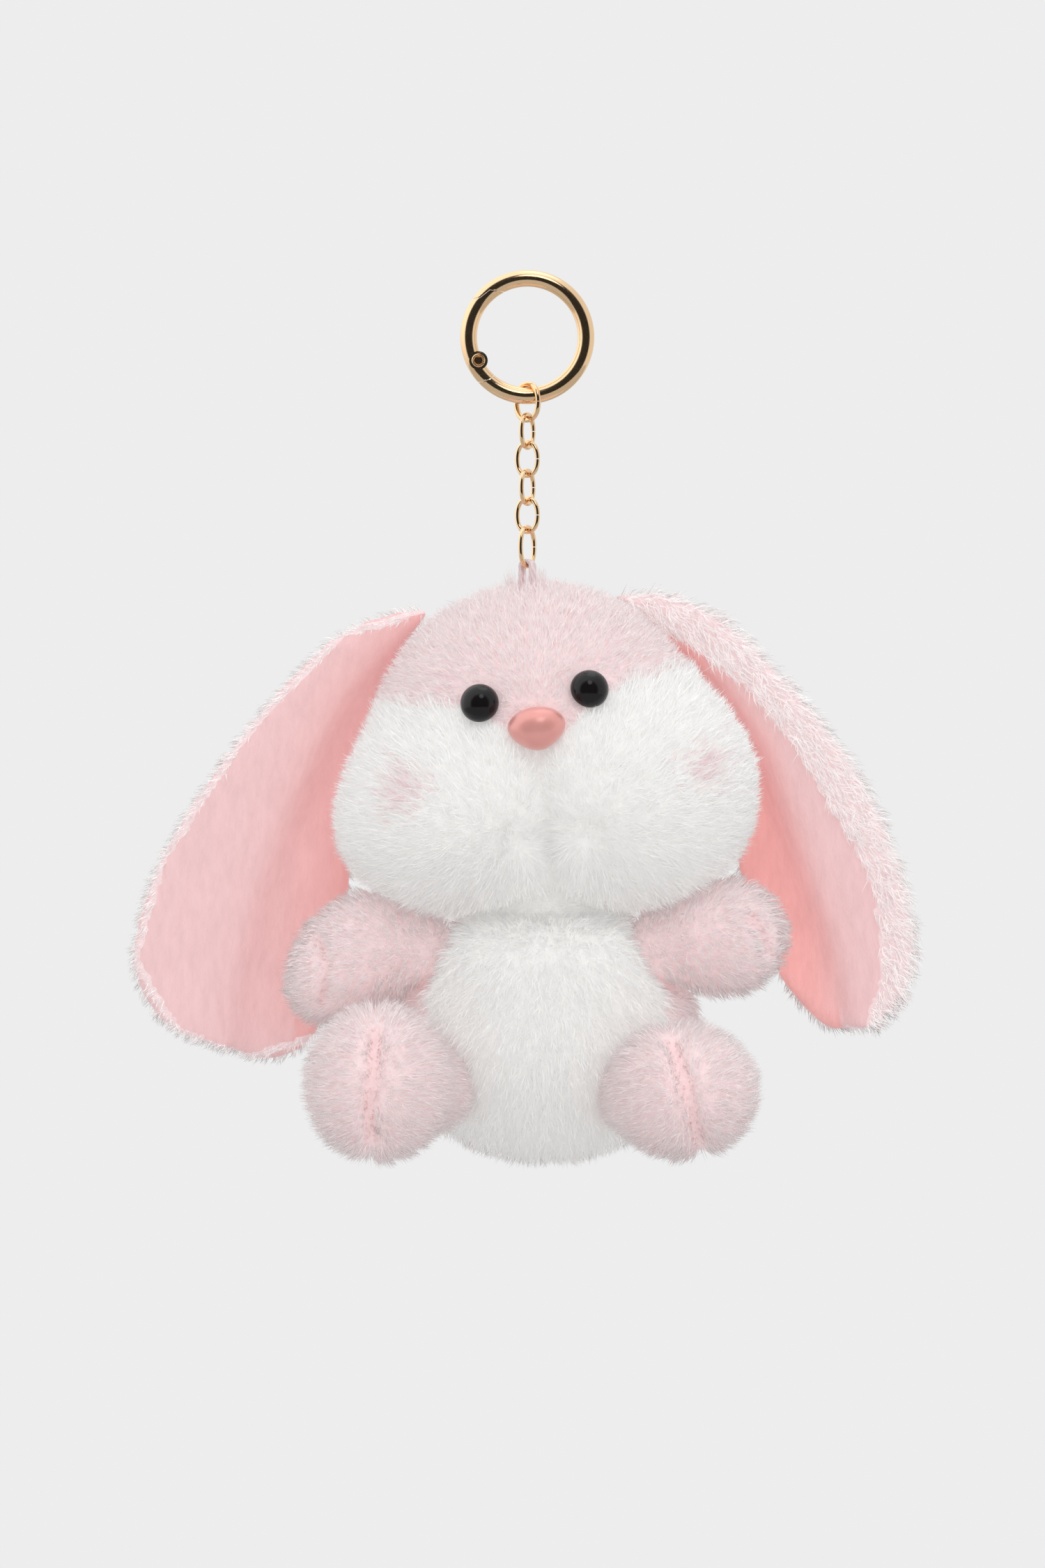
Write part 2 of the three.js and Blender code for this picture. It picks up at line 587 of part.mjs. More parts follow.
for (const [name, ear] of Object.entries(ears)) {
  const reachBack = earGap / 2 + earClothT;
  part(name + "_lining", earSheet(ear, -reachBack, -earGap / 2).subtract(headClear), earLining, plush);
  part(name + "_plush", earSheet(ear, earGap / 2, reachBack).subtract(headClear), pinkPlush, plush);
}

export default root;
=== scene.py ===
"""Looks of the plush rabbit keychain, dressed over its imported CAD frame. Metres, +Z up, the face along -Y."""

import math

import bmesh
import bpy
import numpy as np
from mathutils import Matrix, Vector
from mathutils.bvhtree import BVHTree
from mathutils.kdtree import KDTree


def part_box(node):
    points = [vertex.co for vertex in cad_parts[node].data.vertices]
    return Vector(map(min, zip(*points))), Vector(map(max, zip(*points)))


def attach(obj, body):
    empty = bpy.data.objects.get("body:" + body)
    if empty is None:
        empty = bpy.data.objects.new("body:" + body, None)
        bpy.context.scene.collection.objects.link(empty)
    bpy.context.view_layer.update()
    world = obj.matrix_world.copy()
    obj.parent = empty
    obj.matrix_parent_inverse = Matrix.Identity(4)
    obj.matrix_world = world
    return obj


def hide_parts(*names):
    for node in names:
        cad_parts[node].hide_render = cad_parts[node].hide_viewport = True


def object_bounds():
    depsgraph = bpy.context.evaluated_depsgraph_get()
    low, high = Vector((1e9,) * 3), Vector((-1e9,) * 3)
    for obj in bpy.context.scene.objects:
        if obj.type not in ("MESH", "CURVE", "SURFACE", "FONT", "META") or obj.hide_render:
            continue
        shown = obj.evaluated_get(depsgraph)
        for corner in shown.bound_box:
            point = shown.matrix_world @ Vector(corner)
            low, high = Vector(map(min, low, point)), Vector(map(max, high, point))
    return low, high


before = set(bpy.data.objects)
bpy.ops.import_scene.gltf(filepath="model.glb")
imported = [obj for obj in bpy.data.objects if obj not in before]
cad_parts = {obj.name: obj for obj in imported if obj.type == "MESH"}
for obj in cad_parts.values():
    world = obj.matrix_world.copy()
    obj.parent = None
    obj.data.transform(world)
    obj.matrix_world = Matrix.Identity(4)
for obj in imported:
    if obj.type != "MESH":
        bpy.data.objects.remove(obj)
cad_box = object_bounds()
scene = bpy.context.scene
MM = 0.001
rng = np.random.default_rng(11)
DENSITY = 1.0  # share of the full pile
GLOW = 0.17  # painted glow: emission that stands in for the light fine fibres pass on to each other, in their own colour, and lifts their shade
BARE_GAP = 0.7 * MM  # no pile grows in a gap narrower than this
EYE_D, NOSE_W, NOSE_H = 8, 11.8, 9  # mm

# ---------------------------------------------------------------- camera
def middle_of(node):
    lo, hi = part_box(node)
    return (Vector(lo) + Vector(hi)) / 2


whole = (Vector(cad_box[0]) + Vector(cad_box[1])) / 2
cam_data = bpy.data.cameras.new("camera")
cam_data.lens = 165
cam_data.sensor_width = 36
cam_data.dof.use_dof = False
cam = bpy.data.objects.new("camera", cam_data)
scene.collection.objects.link(cam)
cam.location = (whole.x + 0.9 * MM, -1.5, whole.z - 14.9 * MM)
cam.rotation_euler = (math.pi / 2, 0, 0)
scene.camera = cam
scene.view_settings.view_transform = "Standard"


# ---------------------------------------------------------------- materials
def srgb(r, g, b):
    def lin(v):
        v /= 255
        return v / 12.92 if v <= 0.04045 else ((v + 0.055) / 1.055) ** 2.4

    return (lin(r), lin(g), lin(b), 1.0)


def scaled(colour, k):
    return tuple(min(1.0, c * k) for c in colour[:3]) + (1.0,)


class Shader:
    """A Principled material and short calls to make nodes in it."""

    def __init__(self, name):
        self.material = bpy.data.materials.new(name)
        self.material.use_nodes = True
        self.tree = self.material.node_tree
        self.bsdf = self.tree.nodes["Principled BSDF"]

    def set(self, **values):
        for key, value in values.items():
            self.bsdf.inputs[key.replace("_", " ")].default_value = value
        return self

    def link(self, a, b):
        self.tree.links.new(a, b)

    def coords(self, scale=(1, 1, 1), turn=(0, 0, 0)):
        place = self.tree.nodes.new("ShaderNodeMapping")
        place.inputs["Scale"].default_value = scale
        place.inputs["Rotation"].default_value = turn
        where = self.tree.nodes.new("ShaderNodeTexCoord")
        self.link(where.outputs["Object"], place.inputs["Vector"])
        return place.outputs["Vector"]

    def noise(self, scale, detail=3.0, rough=0.55, vector=None):
        n = self.tree.nodes.new("ShaderNodeTexNoise")
        n.inputs["Scale"].default_value = scale
        n.inputs["Detail"].default_value = detail
        n.inputs["Roughness"].default_value = rough
        self.link(vector or self.coords(), n.inputs["Vector"])
        return n.outputs["Fac"]

    def range(self, value, low, high, a=0.0, b=1.0):
        n = self.tree.nodes.new("ShaderNodeMapRange")
        n.inputs["From Min"].default_value = a
        n.inputs["From Max"].default_value = b
        n.inputs["To Min"].default_value = low
        n.inputs["To Max"].default_value = high
        self.link(value, n.inputs["Value"])
        return n.outputs["Result"]

    def mix(self, factor, a, b):
        n = self.tree.nodes.new("ShaderNodeMix")
        n.data_type = "RGBA"
        self.link(factor, n.inputs["Factor"])
        for socket, value in (("A", a), ("B", b)):
            target = [i for i in n.inputs if i.name == socket and i.type == "RGBA"][0]
            if isinstance(value, tuple):
                target.default_value = value
            else:
                self.link(value, target)
        return [o for o in n.outputs if o.type == "RGBA"][0]

    def colour(self, output):
        self.link(output, self.bsdf.inputs["Base Color"])

    def roughness(self, output):
        self.link(output, self.bsdf.inputs["Roughness"])

    def bump(self, height, strength, distance):
        n = self.tree.nodes.new("ShaderNodeBump")
        n.inputs["Strength"].default_value = strength
        n.inputs["Distance"].default_value = distance
        self.link(height, n.inputs["Height"])
        self.link(n.outputs["Normal"], self.bsdf.inputs["Normal"])


def plush_backing(name, colour, glow):
    """The short dense under-pile that shows between the longer fibres."""
    # A painted glow in the pile's own colour lifts its shade.
    s = Shader(name).set(Sheen_Weight=0.3, Sheen_Roughness=0.5, Emission_Color=glow, Emission_Strength=GLOW)
    s.set(Specular_IOR_Level=0.1)
    s.colour(s.mix(s.range(s.noise(900), 0, 1, 0.35, 0.65), scaled(colour, 0.9), colour))
    s.roughness(s.range(s.noise(400), 0.85, 1.0))
    s.bump(s.noise(1500, 2.0), 0.7, 0.4 * MM)
    return s.material


def nap_lining(name, pale, deep, glow):
    """Shaved minky: a soft sheen, fine slanting nap, the painted shade of the folds as a deeper pink, and a
    painted coral glow.
    """
    s = Shader(name).set(Sheen_Weight=0.35, Sheen_Roughness=0.45, Specular_IOR_Level=0.15)
    s.set(Emission_Color=glow, Emission_Strength=GLOW)
    # The shade attribute paints the shade of the folds as a deeper pink.
    shade = s.tree.nodes.new("ShaderNodeAttribute")
    shade.attribute_name = "shade"
    nap = s.noise(520, 4.0, 0.7, s.coords((1.0, 1.0, 0.3), (0, 0.7, 0)))
    base = s.mix(s.range(shade.outputs["Fac"], 0, 1), pale, deep)
    darker = s.mix(s.range(shade.outputs["Fac"], 0, 1), scaled(pale, 0.9), scaled(deep, 0.88))
    s.colour(s.mix(s.range(nap, 0, 1, 0.35, 0.65), darker, base))
    s.roughness(s.range(s.noise(300), 0.75, 0.95))
    s.bump(nap, 0.8, 0.35 * MM)
    return s.material


def gold(name):
    s = Shader(name).set(Metallic=1.0)
    tone = s.noise(90, 2.0)
    s.colour(s.mix(tone, srgb(240, 203, 158), srgb(247, 215, 175)))
    fine = s.noise(1400, 4.0, 0.6, s.coords((1, 1, 4)))
    s.roughness(s.range(fine, 0.07, 0.17, 0.3, 0.7))
    s.bump(s.noise(3000, 2.0), 0.03, 0.03 * MM)
    return s.material


def moulded(name, low, high, roughness, coat=0.0, **more):
    s = Shader(name).set(Coat_Weight=coat, Coat_Roughness=0.05, **more)
    s.colour(s.mix(s.noise(220, 3.0), low, high))
    s.roughness(s.range(s.noise(700), *roughness))
    s.bump(s.noise(900, 2.0), 0.02, 0.05 * MM)
    return s.material


def woven(name, colour):
    s = Shader(name).set(Sheen_Weight=0.3)
    wave = s.tree.nodes.new("ShaderNodeTexWave")
    wave.inputs["Scale"].default_value = 700
    wave.inputs["Distortion"].default_value = 1.5
    s.link(s.coords((1, 1, 1), (0.6, 0, 0.4)), wave.inputs["Vector"])
    s.colour(s.mix(wave.outputs["Fac"], scaled(colour, 0.8), colour))
    s.roughness(s.range(s.noise(500), 0.75, 0.95))
    s.bump(wave.outputs["Fac"], 0.6, 0.15 * MM)
    return s.material


def fibre(name, colour, glow, strength):
    s = Shader(name).set(Roughness=0.8, Sheen_Weight=0.2, Sheen_Roughness=0.4, Specular_IOR_Level=0.15)
    # A painted glow in the fibre's own colour lifts the shade between fibres.
    s.set(Emission_Color=glow, Emission_Strength=strength)
    s.set(Base_Color=colour)
    return s.material


def fibres(name, root, tips, glow, strength):
    """Root and tip materials for each tint of pile."""
    made = []
    for i, tip in enumerate(tips):
        made.append(fibre(f"{name}_{i}_root", root, glow, strength))
        made.append(fibre(f"{name}_{i}_tip", tip, glow, strength))
    return made


# Painted glow colours; the pink one also paints the pile's shadows a more saturated pink.
pink_glow = (1.0, 0.84, 0.83, 1)
white_glow = (1.0, 0.98, 0.96, 1)
pink_backing = plush_backing("pink_backing", srgb(249, 222, 224), pink_glow)
white_backing = plush_backing("white_backing", srgb(247, 246, 244), white_glow)
# The ear lining: its pale pink, a deeper pink painted as the shade of its folds, and a painted coral glow.
lining = nap_lining("ear_lining_nap", srgb(242, 206, 208), srgb(250, 180, 176), (1.0, 0.60, 0.58, 1))
gold_metal = gold("gold_plate")
pink_fibres = fibres("pink_pile", srgb(250, 223, 225),
                     [srgb(252, 239, 240), srgb(251, 233, 235), srgb(253, 245, 245)], pink_glow, GLOW)
# The white pile gets a stronger painted glow.
white_fibres = fibres("white_pile", srgb(249, 248, 246),
                      [srgb(252, 252, 251), srgb(250, 250, 249), srgb(253, 253, 253)], white_glow, 0.22)
blush_fibres = fibres("blush_pile", srgb(247, 216, 221), [srgb(250, 226, 230)], pink_glow, GLOW)
# Deeper pink pile with a darker glow, painted as the shade in a sewn crease.
crease_shade_fibres = fibres("crease_shade_pile", srgb(241, 196, 196), [srgb(246, 214, 214)], (0.7, 0.5, 0.5, 1), GLOW)
# Paler rim pile: partly the ear plush's own whiter colour, partly painted light, with a stronger painted glow
# that lifts the shade between its dense fibres.
rim_lit_fibres = fibres("rim_lit_pile", srgb(252, 238, 238), [srgb(254, 247, 247), srgb(253, 241, 242)],
                    white_glow, 0.3)


# ---------------------------------------------------------------- mesh helpers
def arrays(node):
    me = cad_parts[node].data
    co = np.empty(3 * len(me.vertices), np.float32)
    me.vertices.foreach_get("co", co)
    me.calc_loop_triangles()
    tri = np.empty(3 * len(me.loop_triangles), np.int32)
    me.loop_triangles.foreach_get("vertices", tri)
    return co.reshape(-1, 3).astype(float), tri.reshape(-1, 3)


def joined(nodes):
    """One tree over several nodes, and which of them each triangle came from."""
    verts, tris, owner, base = [], [], [], 0
    for k, node in enumerate(nodes):
        co, tri = arrays(node)
        verts.append(co)
        tris.append(tri + base)
        owner.append(np.full(len(tri), k))
        base += len(co)
    verts, tris = np.vstack(verts), np.vstack(tris)
    return BVHTree.FromPolygons(verts.tolist(), tris.tolist()), np.concatenate(owner)


def mesh_object(name, verts, faces, materials, index=None, smooth=True):
    me = bpy.data.meshes.new(name)
    me.from_pydata([tuple(v) for v in verts], [], [tuple(int(i) for i in f) for f in faces])
    for m in materials:
        me.materials.append(m)
    if index is not None:
        me.polygons.foreach_set("material_index", np.asarray(index, np.int32))
    if smooth:
        me.polygons.foreach_set("use_smooth", np.ones(len(me.polygons), bool))
    me.update()
    ob = bpy.data.objects.new(name, me)
    scene.collection.objects.link(ob)
    return ob


def stands_for(ob, nodes, body):
    """Hides the CAD nodes a visible piece replaces, and hangs the piece on the body it rides on."""
    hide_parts(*nodes)
    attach(ob, body)


def unit(v):
    return v / np.maximum(np.linalg.norm(v, axis=-1, keepdims=True), 1e-12)


def vertex_normals(P, F):
    n = np.cross(P[F[:, 1]] - P[F[:, 0]], P[F[:, 2]] - P[F[:, 0]])
    out = np.zeros_like(P)
    for k in range(3):
        for axis in range(3):
            out[:, axis] += np.bincount(F[:, k], n[:, axis], len(P))
    return unit(out)


def edges_of(F):
    e = np.sort(np.vstack([F[:, [0, 1]], F[:, [1, 2]], F[:, [2, 0]]]), axis=1)
    return np.unique(e, axis=0)


def averaged(X, E, times, share=1.0):
    n = len(X)
    degree = np.bincount(E[:, 0], minlength=n) + np.bincount(E[:, 1], minlength=n)
    X = X.copy()
    for _ in range(times):
        total = np.zeros_like(X)
        if X.ndim == 1:
            total = np.bincount(E[:, 0], X[E[:, 1]], n) + np.bincount(E[:, 1], X[E[:, 0]], n)
            X += share * (total / degree - X)
        else:
            for axis in range(X.shape[1]):
                total[:, axis] = (np.bincount(E[:, 0], X[E[:, 1], axis], n)
                                  + np.bincount(E[:, 1], X[E[:, 0], axis], n))
            X += share * (total / degree[:, None] - X)
    return X


def spread(X, E, pick):
    out = X.copy()
    pick.at(out, E[:, 0], X[E[:, 1]])
    pick.at(out, E[:, 1], X[E[:, 0]])
    return out


def lattice(level):
    bm = bmesh.new()
    bmesh.ops.create_icosphere(bm, subdivisions=level, radius=1.0)
    directions = np.array([v.co[:] for v in bm.verts])
    faces = np.array([[v.index for v in f.verts] for f in bm.faces])
    bm.free()
    return unit(directions), faces, edges_of(faces)


lattices = {level: lattice(level) for level in (4, 6)}
nose_middle = middle_of("nose")


def spot(x, z):
    """A place on the rabbit in X and Z, measured in millimetres from the nose."""
    return np.array([nose_middle.x + (x - 2.9) * MM, nose_middle.z + (z + 92.7) * MM])


def from_piece(Q, a, b):
    """The step to each flat point from the nearest place between a and b."""
    ab = b - a
    t = np.clip(((Q - a) @ ab) / (ab @ ab), 0, 1)
    return Q - (a + t[:, None] * ab)


def to_line(P, line):
    """How far each point is, in X and Z, from a line of points."""
    Q = P[:, [0, 2]]
    return np.min([np.linalg.norm(from_piece(Q, a, b), axis=1) for a, b in zip(line, line[1:])], axis=0)


def groove(P, N, line, depth, width):
    """Draws the surface in along a line, only on its front side."""
    near = np.exp(-((to_line(P, line) / width) ** 2)) * depth
    front = np.clip(-N[:, 1] * 1.6, 0, 1)
    return P - N * (near * front)[:, None]


# ---------------------------------------------------------------- stuffed skins
forms = {}  # name -> dict of points, faces, normals, labels, body


def stuffed(name, body, nodes, centre, level, soften, sculpt=None):
    """A smooth closed skin over the outer surface of a group of panels, whose seams it closes."""
    D, F, E = lattices[level]
    tree, owner = joined(nodes)
    far = 0.13
    centre = Vector(centre)
    r = np.zeros(len(D))
    label = np.full(len(D), -1)
    for i, d in enumerate(D):
        d = Vector(d)
        hit, _, index, distance = tree.ray_cast(centre + d * far, -d, far)
        if hit is not None:
            r[i] = far - distance
            label[i] = owner[index]
    times = {4: 1, 6: 2}[level]
    for pick in (np.maximum, np.minimum):
        for _ in range(times):
            r = spread(r, E, pick)
    P = np.array(centre) + D * r[:, None]
    P = averaged(P, E, soften, 0.6)
    if sculpt:
        P = sculpt(P, vertex_normals(P, F))
        P = averaged(P, E, 2, 0.5)
    forms[name] = {"P": P, "F": F, "E": E, "N": vertex_normals(P, F), "label": label,
                   "nodes": nodes, "body": body, "centre": np.array(centre)}


cleft = [spot(2.7, -97.5), spot(3.4, -106), spot(5.2, -118), spot(8.0, -129)]
dimples = [spot(-1.9, -115.3), spot(12.7, -114)]


def shape_head(P, N):
    """The muzzle is drawn in along its cleft and where each cheek is stitched."""
    P = groove(P, N, cleft, 2.6 * MM, 2.4 * MM)
    for dimple in dimples:
        P = groove(P, N, [dimple, dimple + np.array([0.5, -1]) * MM], 1.6 * MM, 3.4 * MM)
    # The cloth is drawn in a little round each eye and the nose.
    for node in ("eye_left", "eye_right", "nose"):
        c = middle_of(node)
        at = np.array([c.x, c.z])
        P = groove(P, N, [at, at + 1e-4], 1.1 * MM, 6.5 * MM)
    return P


creases = {
    "leg_left": [spot(-30.2, -155), spot(-30.6, -163), spot(-31.6, -172), spot(-31, -176)],
    "leg_right": [spot(30.3, -156.6), spot(33.0, -165), spot(35.9, -177.4)],
    "arm_left": [spot(-41.8, -136.5), spot(-40.3, -142), spot(-41, -148.5)],
    "arm_right": [spot(46.5, -131.5), spot(49.5, -134.8), spot(50.5, -139.5)],
}


def shape_limb(name):
    """The sewn crease of a paw, and an arm filled out up to the cheek above it."""
    def shape(P, N):
        if name.startswith("leg"):
            return groove(P, N, creases[name], 3.2 * MM, 1.6 * MM)
        outer = np.clip((np.abs(P[:, 0] - spot(4.5, 0)[0]) - 24 * MM) / (10 * MM), 0, 1)
        P = P + (outer * np.clip(N[:, 2], 0, 1) * 1.6 * MM)[:, None] * np.array([0, 0, 1])
        return groove(P, N, creases[name], 2.2 * MM, 1.4 * MM)

    return shape


head_nodes = ["head_face", "muzzle_left", "muzzle_right",
              "head_back_left", "head_back_right", "head_stuffing"]
torso_nodes = ["belly", "body_left", "body_right", "body_stuffing"]
head_centre = Vector((nose_middle.x + 1.2 * MM, middle_of("head_stuffing").y, nose_middle.z - 6 * MM))
stuffed("head", "head", head_nodes, head_centre, 6, 14, shape_head)


def shape_torso(P, N):
    """The chest is stuffed full right up under the chin."""
    x, z = spot(4.5, -138)
    high = np.exp(-(((P[:, 2] - z) / (8 * MM)) ** 2))
    middle = np.clip(1.35 - (np.abs(P[:, 0] - x) / (22 * MM)) ** 2, 0, 1)
    front = np.clip(0.35 - N[:, 1] * 1.2, 0, 1)
    return P + N * (high * middle * front * 4.0 * MM)[:, None]


stuffed("torso", "torso", torso_nodes, middle_of("belly") + Vector((0, 13 * MM, -2 * MM)), 6, 14, shape_torso)
for side in ("left", "right"):
    for limb in ("arm", "leg"):
        name = f"{limb}_{side}"
        nodes = [f"{name}_inner", f"{name}_outer", f"{name}_stuffing"]
        stuffed(name, name, nodes, middle_of(f"{name}_stuffing"), 6, 16, shape_limb(name))
stuffed("tail", "torso", ["tail", "tail_stuffing"], middle_of("tail"), 4, 2)


# ---------------------------------------------------------------- ears
ear_lines = {
    # the outer rim and the fold run from the root to the tip; away is the side the pile leans to
    "ear_left": {
        "fold": [spot(-26, -70), spot(-38, -88), spot(-45, -108), spot(-47, -128), spot(-48, -150)],
        "away": -1,
        "tip": spot(-66, -160), "root": spot(-22, -70),
        "rim": [spot(-19, -67), spot(-38, -72.6), spot(-57.8, -93.2), spot(-75.6, -119.8),
                spot(-81.4, -141), spot(-72.4, -155.6), spot(-57.5, -161.4), spot(-44, -157)],
    },
    "ear_right": {
        "fold": [spot(40, -79), spot(51.8, -95.9), spot(58, -115), spot(63.9, -135.6), spot(66, -150)],
        "away": 1,
        "tip": spot(70, -156), "root": spot(22, -67),
        "rim": [spot(18.6, -66), spot(34, -74), spot(47, -84), spot(57, -96), spot(69.4, -117.2),
                spot(73.6, -127.1), spot(75.1, -144), spot(71, -157)],
    },
}


def ear(name):
    nodes = [name + "_lining", name + "_plush"]
    verts, tris, base = [], [], 0
    trees = []
    for node in nodes:
        co, tri = arrays(node)
        verts.append(co)
        tris.append(tri + base)
        base += len(co)
        trees.append(BVHTree.FromPolygons(co.tolist(), tri.tolist()))
    raw = mesh_object(name + "_raw", np.vstack(verts), np.vstack(tris), [])
    remesh = raw.modifiers.new("fuse", "REMESH")
    remesh.mode = "VOXEL"
    remesh.voxel_size = 1.0 * MM
    remesh.adaptivity = 0
    evaluated = raw.evaluated_get(bpy.context.evaluated_depsgraph_get())
    me = bpy.data.meshes.new_from_object(evaluated)
    bpy.data.objects.remove(raw)
    bm = bmesh.new()
    bm.from_mesh(me)
    bmesh.ops.triangulate(bm, faces=bm.faces[:])
    # Only the outermost surface is kept.
    seen, best = set(), []
    bm.verts.ensure_lookup_table()
    for start in bm.verts:
        if start.index in seen:
            continue
        island, stack = [], [start]
        seen.add(start.index)
        while stack:
            v = stack.pop()
            island.append(v)
            for e in v.link_edges:
                w = e.other_vert(v)
                if w.index not in seen:
                    seen.add(w.index)
                    stack.append(w)
        if len(island) > len(best):
            best = island
    keep = {v.index for v in best}
    bmesh.ops.delete(bm, geom=[v for v in bm.verts if v.index not in keep], context="VERTS")
    bm.verts.index_update()
    P = np.array([v.co[:] for v in bm.verts])
    F = np.array([[v.index for v in f.verts] for f in bm.faces])
    bm.free()
    bpy.data.meshes.remove(me)
    E = edges_of(F)
    P = averaged(P, E, 10, 0.6)
    N = vertex_normals(P, F)
    P = P + N * 0.35 * MM
    lined = np.zeros(len(P), bool)
    for i, p in enumerate(P):
        p = Vector(p)
        lined[i] = trees[0].find_nearest(p)[3] < trees[1].find_nearest(p)[3]
    spec = ear_lines[name]
    off_rim = to_line(P, spec["rim"])
    if name == "ear_right":
        outer = left_of(P, spec["rim"])
        lined &= ~outer
        # The plush rim is full, and rolls outward past the seam.
        full = averaged(np.clip(off_rim / (5 * MM), 0, 1) * outer, E, 6)
        P = P + full[:, None] * np.array([2.4, 0, 1.1]) * MM
        N = vertex_normals(P, F)
    else:
        lined &= off_rim > 0.4 * MM
    forms[name] = {"P": P, "F": F, "E": E, "N": N, "lined": lined, "nodes": nodes, "body": name,
                   "centre": P.mean(axis=0)}


def left_of(P, line):
    """True to the left of the line, looking along it."""
    Q = P[:, [0, 2]]
    best = np.full(len(P), 1e9)
    side = np.zeros(len(P))
    for a, b in zip(line, line[1:]):
        d = np.linalg.norm(from_piece(Q, a, b), axis=1)
        ab = b - a
        cross = ab[0] * (Q[:, 1] - a[1]) - ab[1] * (Q[:, 0] - a[0])
        side = np.where(d < best, cross, side)
        best = np.minimum(best, d)
    return side > 0


for name in ("ear_left", "ear_right"):
    ear(name)


def ear_shade(form, name):
    """How deep the painted shade of pink is: pale on the outer part, deep past the fold and under the head,
    where the lining lies in shade.
    """
    P = form["P"]
    line = ear_lines[name]["fold"]
    d = to_line(P, line)
    left = name == "ear_left"
    beyond = left_of(P, line) == left
    signed = np.where(beyond, d, -d) / MM
    start, blend = (2.0, 5.0) if left else (1.0, 1.6)
    back = np.clip(form["N"][:, 1] * 2, 0, 1)
    return (1 - back) / (1 + np.exp(-(signed - start) / blend))


# ---------------------------------------------------------------- pile
for form in forms.values():
    form["tree"] = BVHTree.FromPolygons(form["P"].tolist(), form["F"].tolist())
metal_tree = joined(["end_ring", "link_4", "hanging_loop"])[0]
eye_centres = [middle_of("eye_left") + Vector((1.5 * MM, 0, 0)), middle_of("eye_right")]


def grow(name, density, faces, length):
    """Random roots on the given faces, so many to each square millimetre.

    Gives their places, their normals, their lengths in the room there is, and which of them may grow."""
    P, F, N = forms[name]["P"], forms[name]["F"], forms[name]["N"]
    T = F[faces]
    a, b, c = P[T[:, 0]], P[T[:, 1]], P[T[:, 2]]
    area = np.linalg.norm(np.cross(b - a, c - a), axis=1) / 2
    count = int(area.sum() * 1e6 * density * DENSITY)
    pick = rng.choice(len(T), count, p=area / area.sum())
    u, v = rng.random(count), rng.random(count)
    flip = u + v > 1
    u[flip], v[flip] = 1 - u[flip], 1 - v[flip]
    w = 1 - u - v
    T = T[pick]
    at = P[T[:, 0]] * w[:, None] + P[T[:, 1]] * u[:, None] + P[T[:, 2]] * v[:, None]
    n = unit(N[T[:, 0]] * w[:, None] + N[T[:, 1]] * u[:, None] + N[T[:, 2]] * v[:, None])
    gap = room(at, name)
    return at, n, np.minimum(length * MM, gap * 0.9 + 0.6 * MM), gap > BARE_GAP


def room(at, name):
    """How far each point is from other parts of the rabbit; 0 if it is inside one."""
    limit = 7 * MM
    gap = np.full(len(at), limit)
    for other, form in forms.items():
        if other == name:
            continue
        lo, hi = form["P"].min(axis=0) - limit, form["P"].max(axis=0) + limit
        close = np.where(((at > lo) & (at < hi)).all(axis=1))[0]
        for i in close:
            p = Vector(at[i])
            hit, normal, _, distance = form["tree"].find_nearest(p, limit)
            if hit is None:
                continue
            inside = (p - hit).dot(normal) < 0
            gap[i] = 0 if inside else min(gap[i], distance)
    return gap


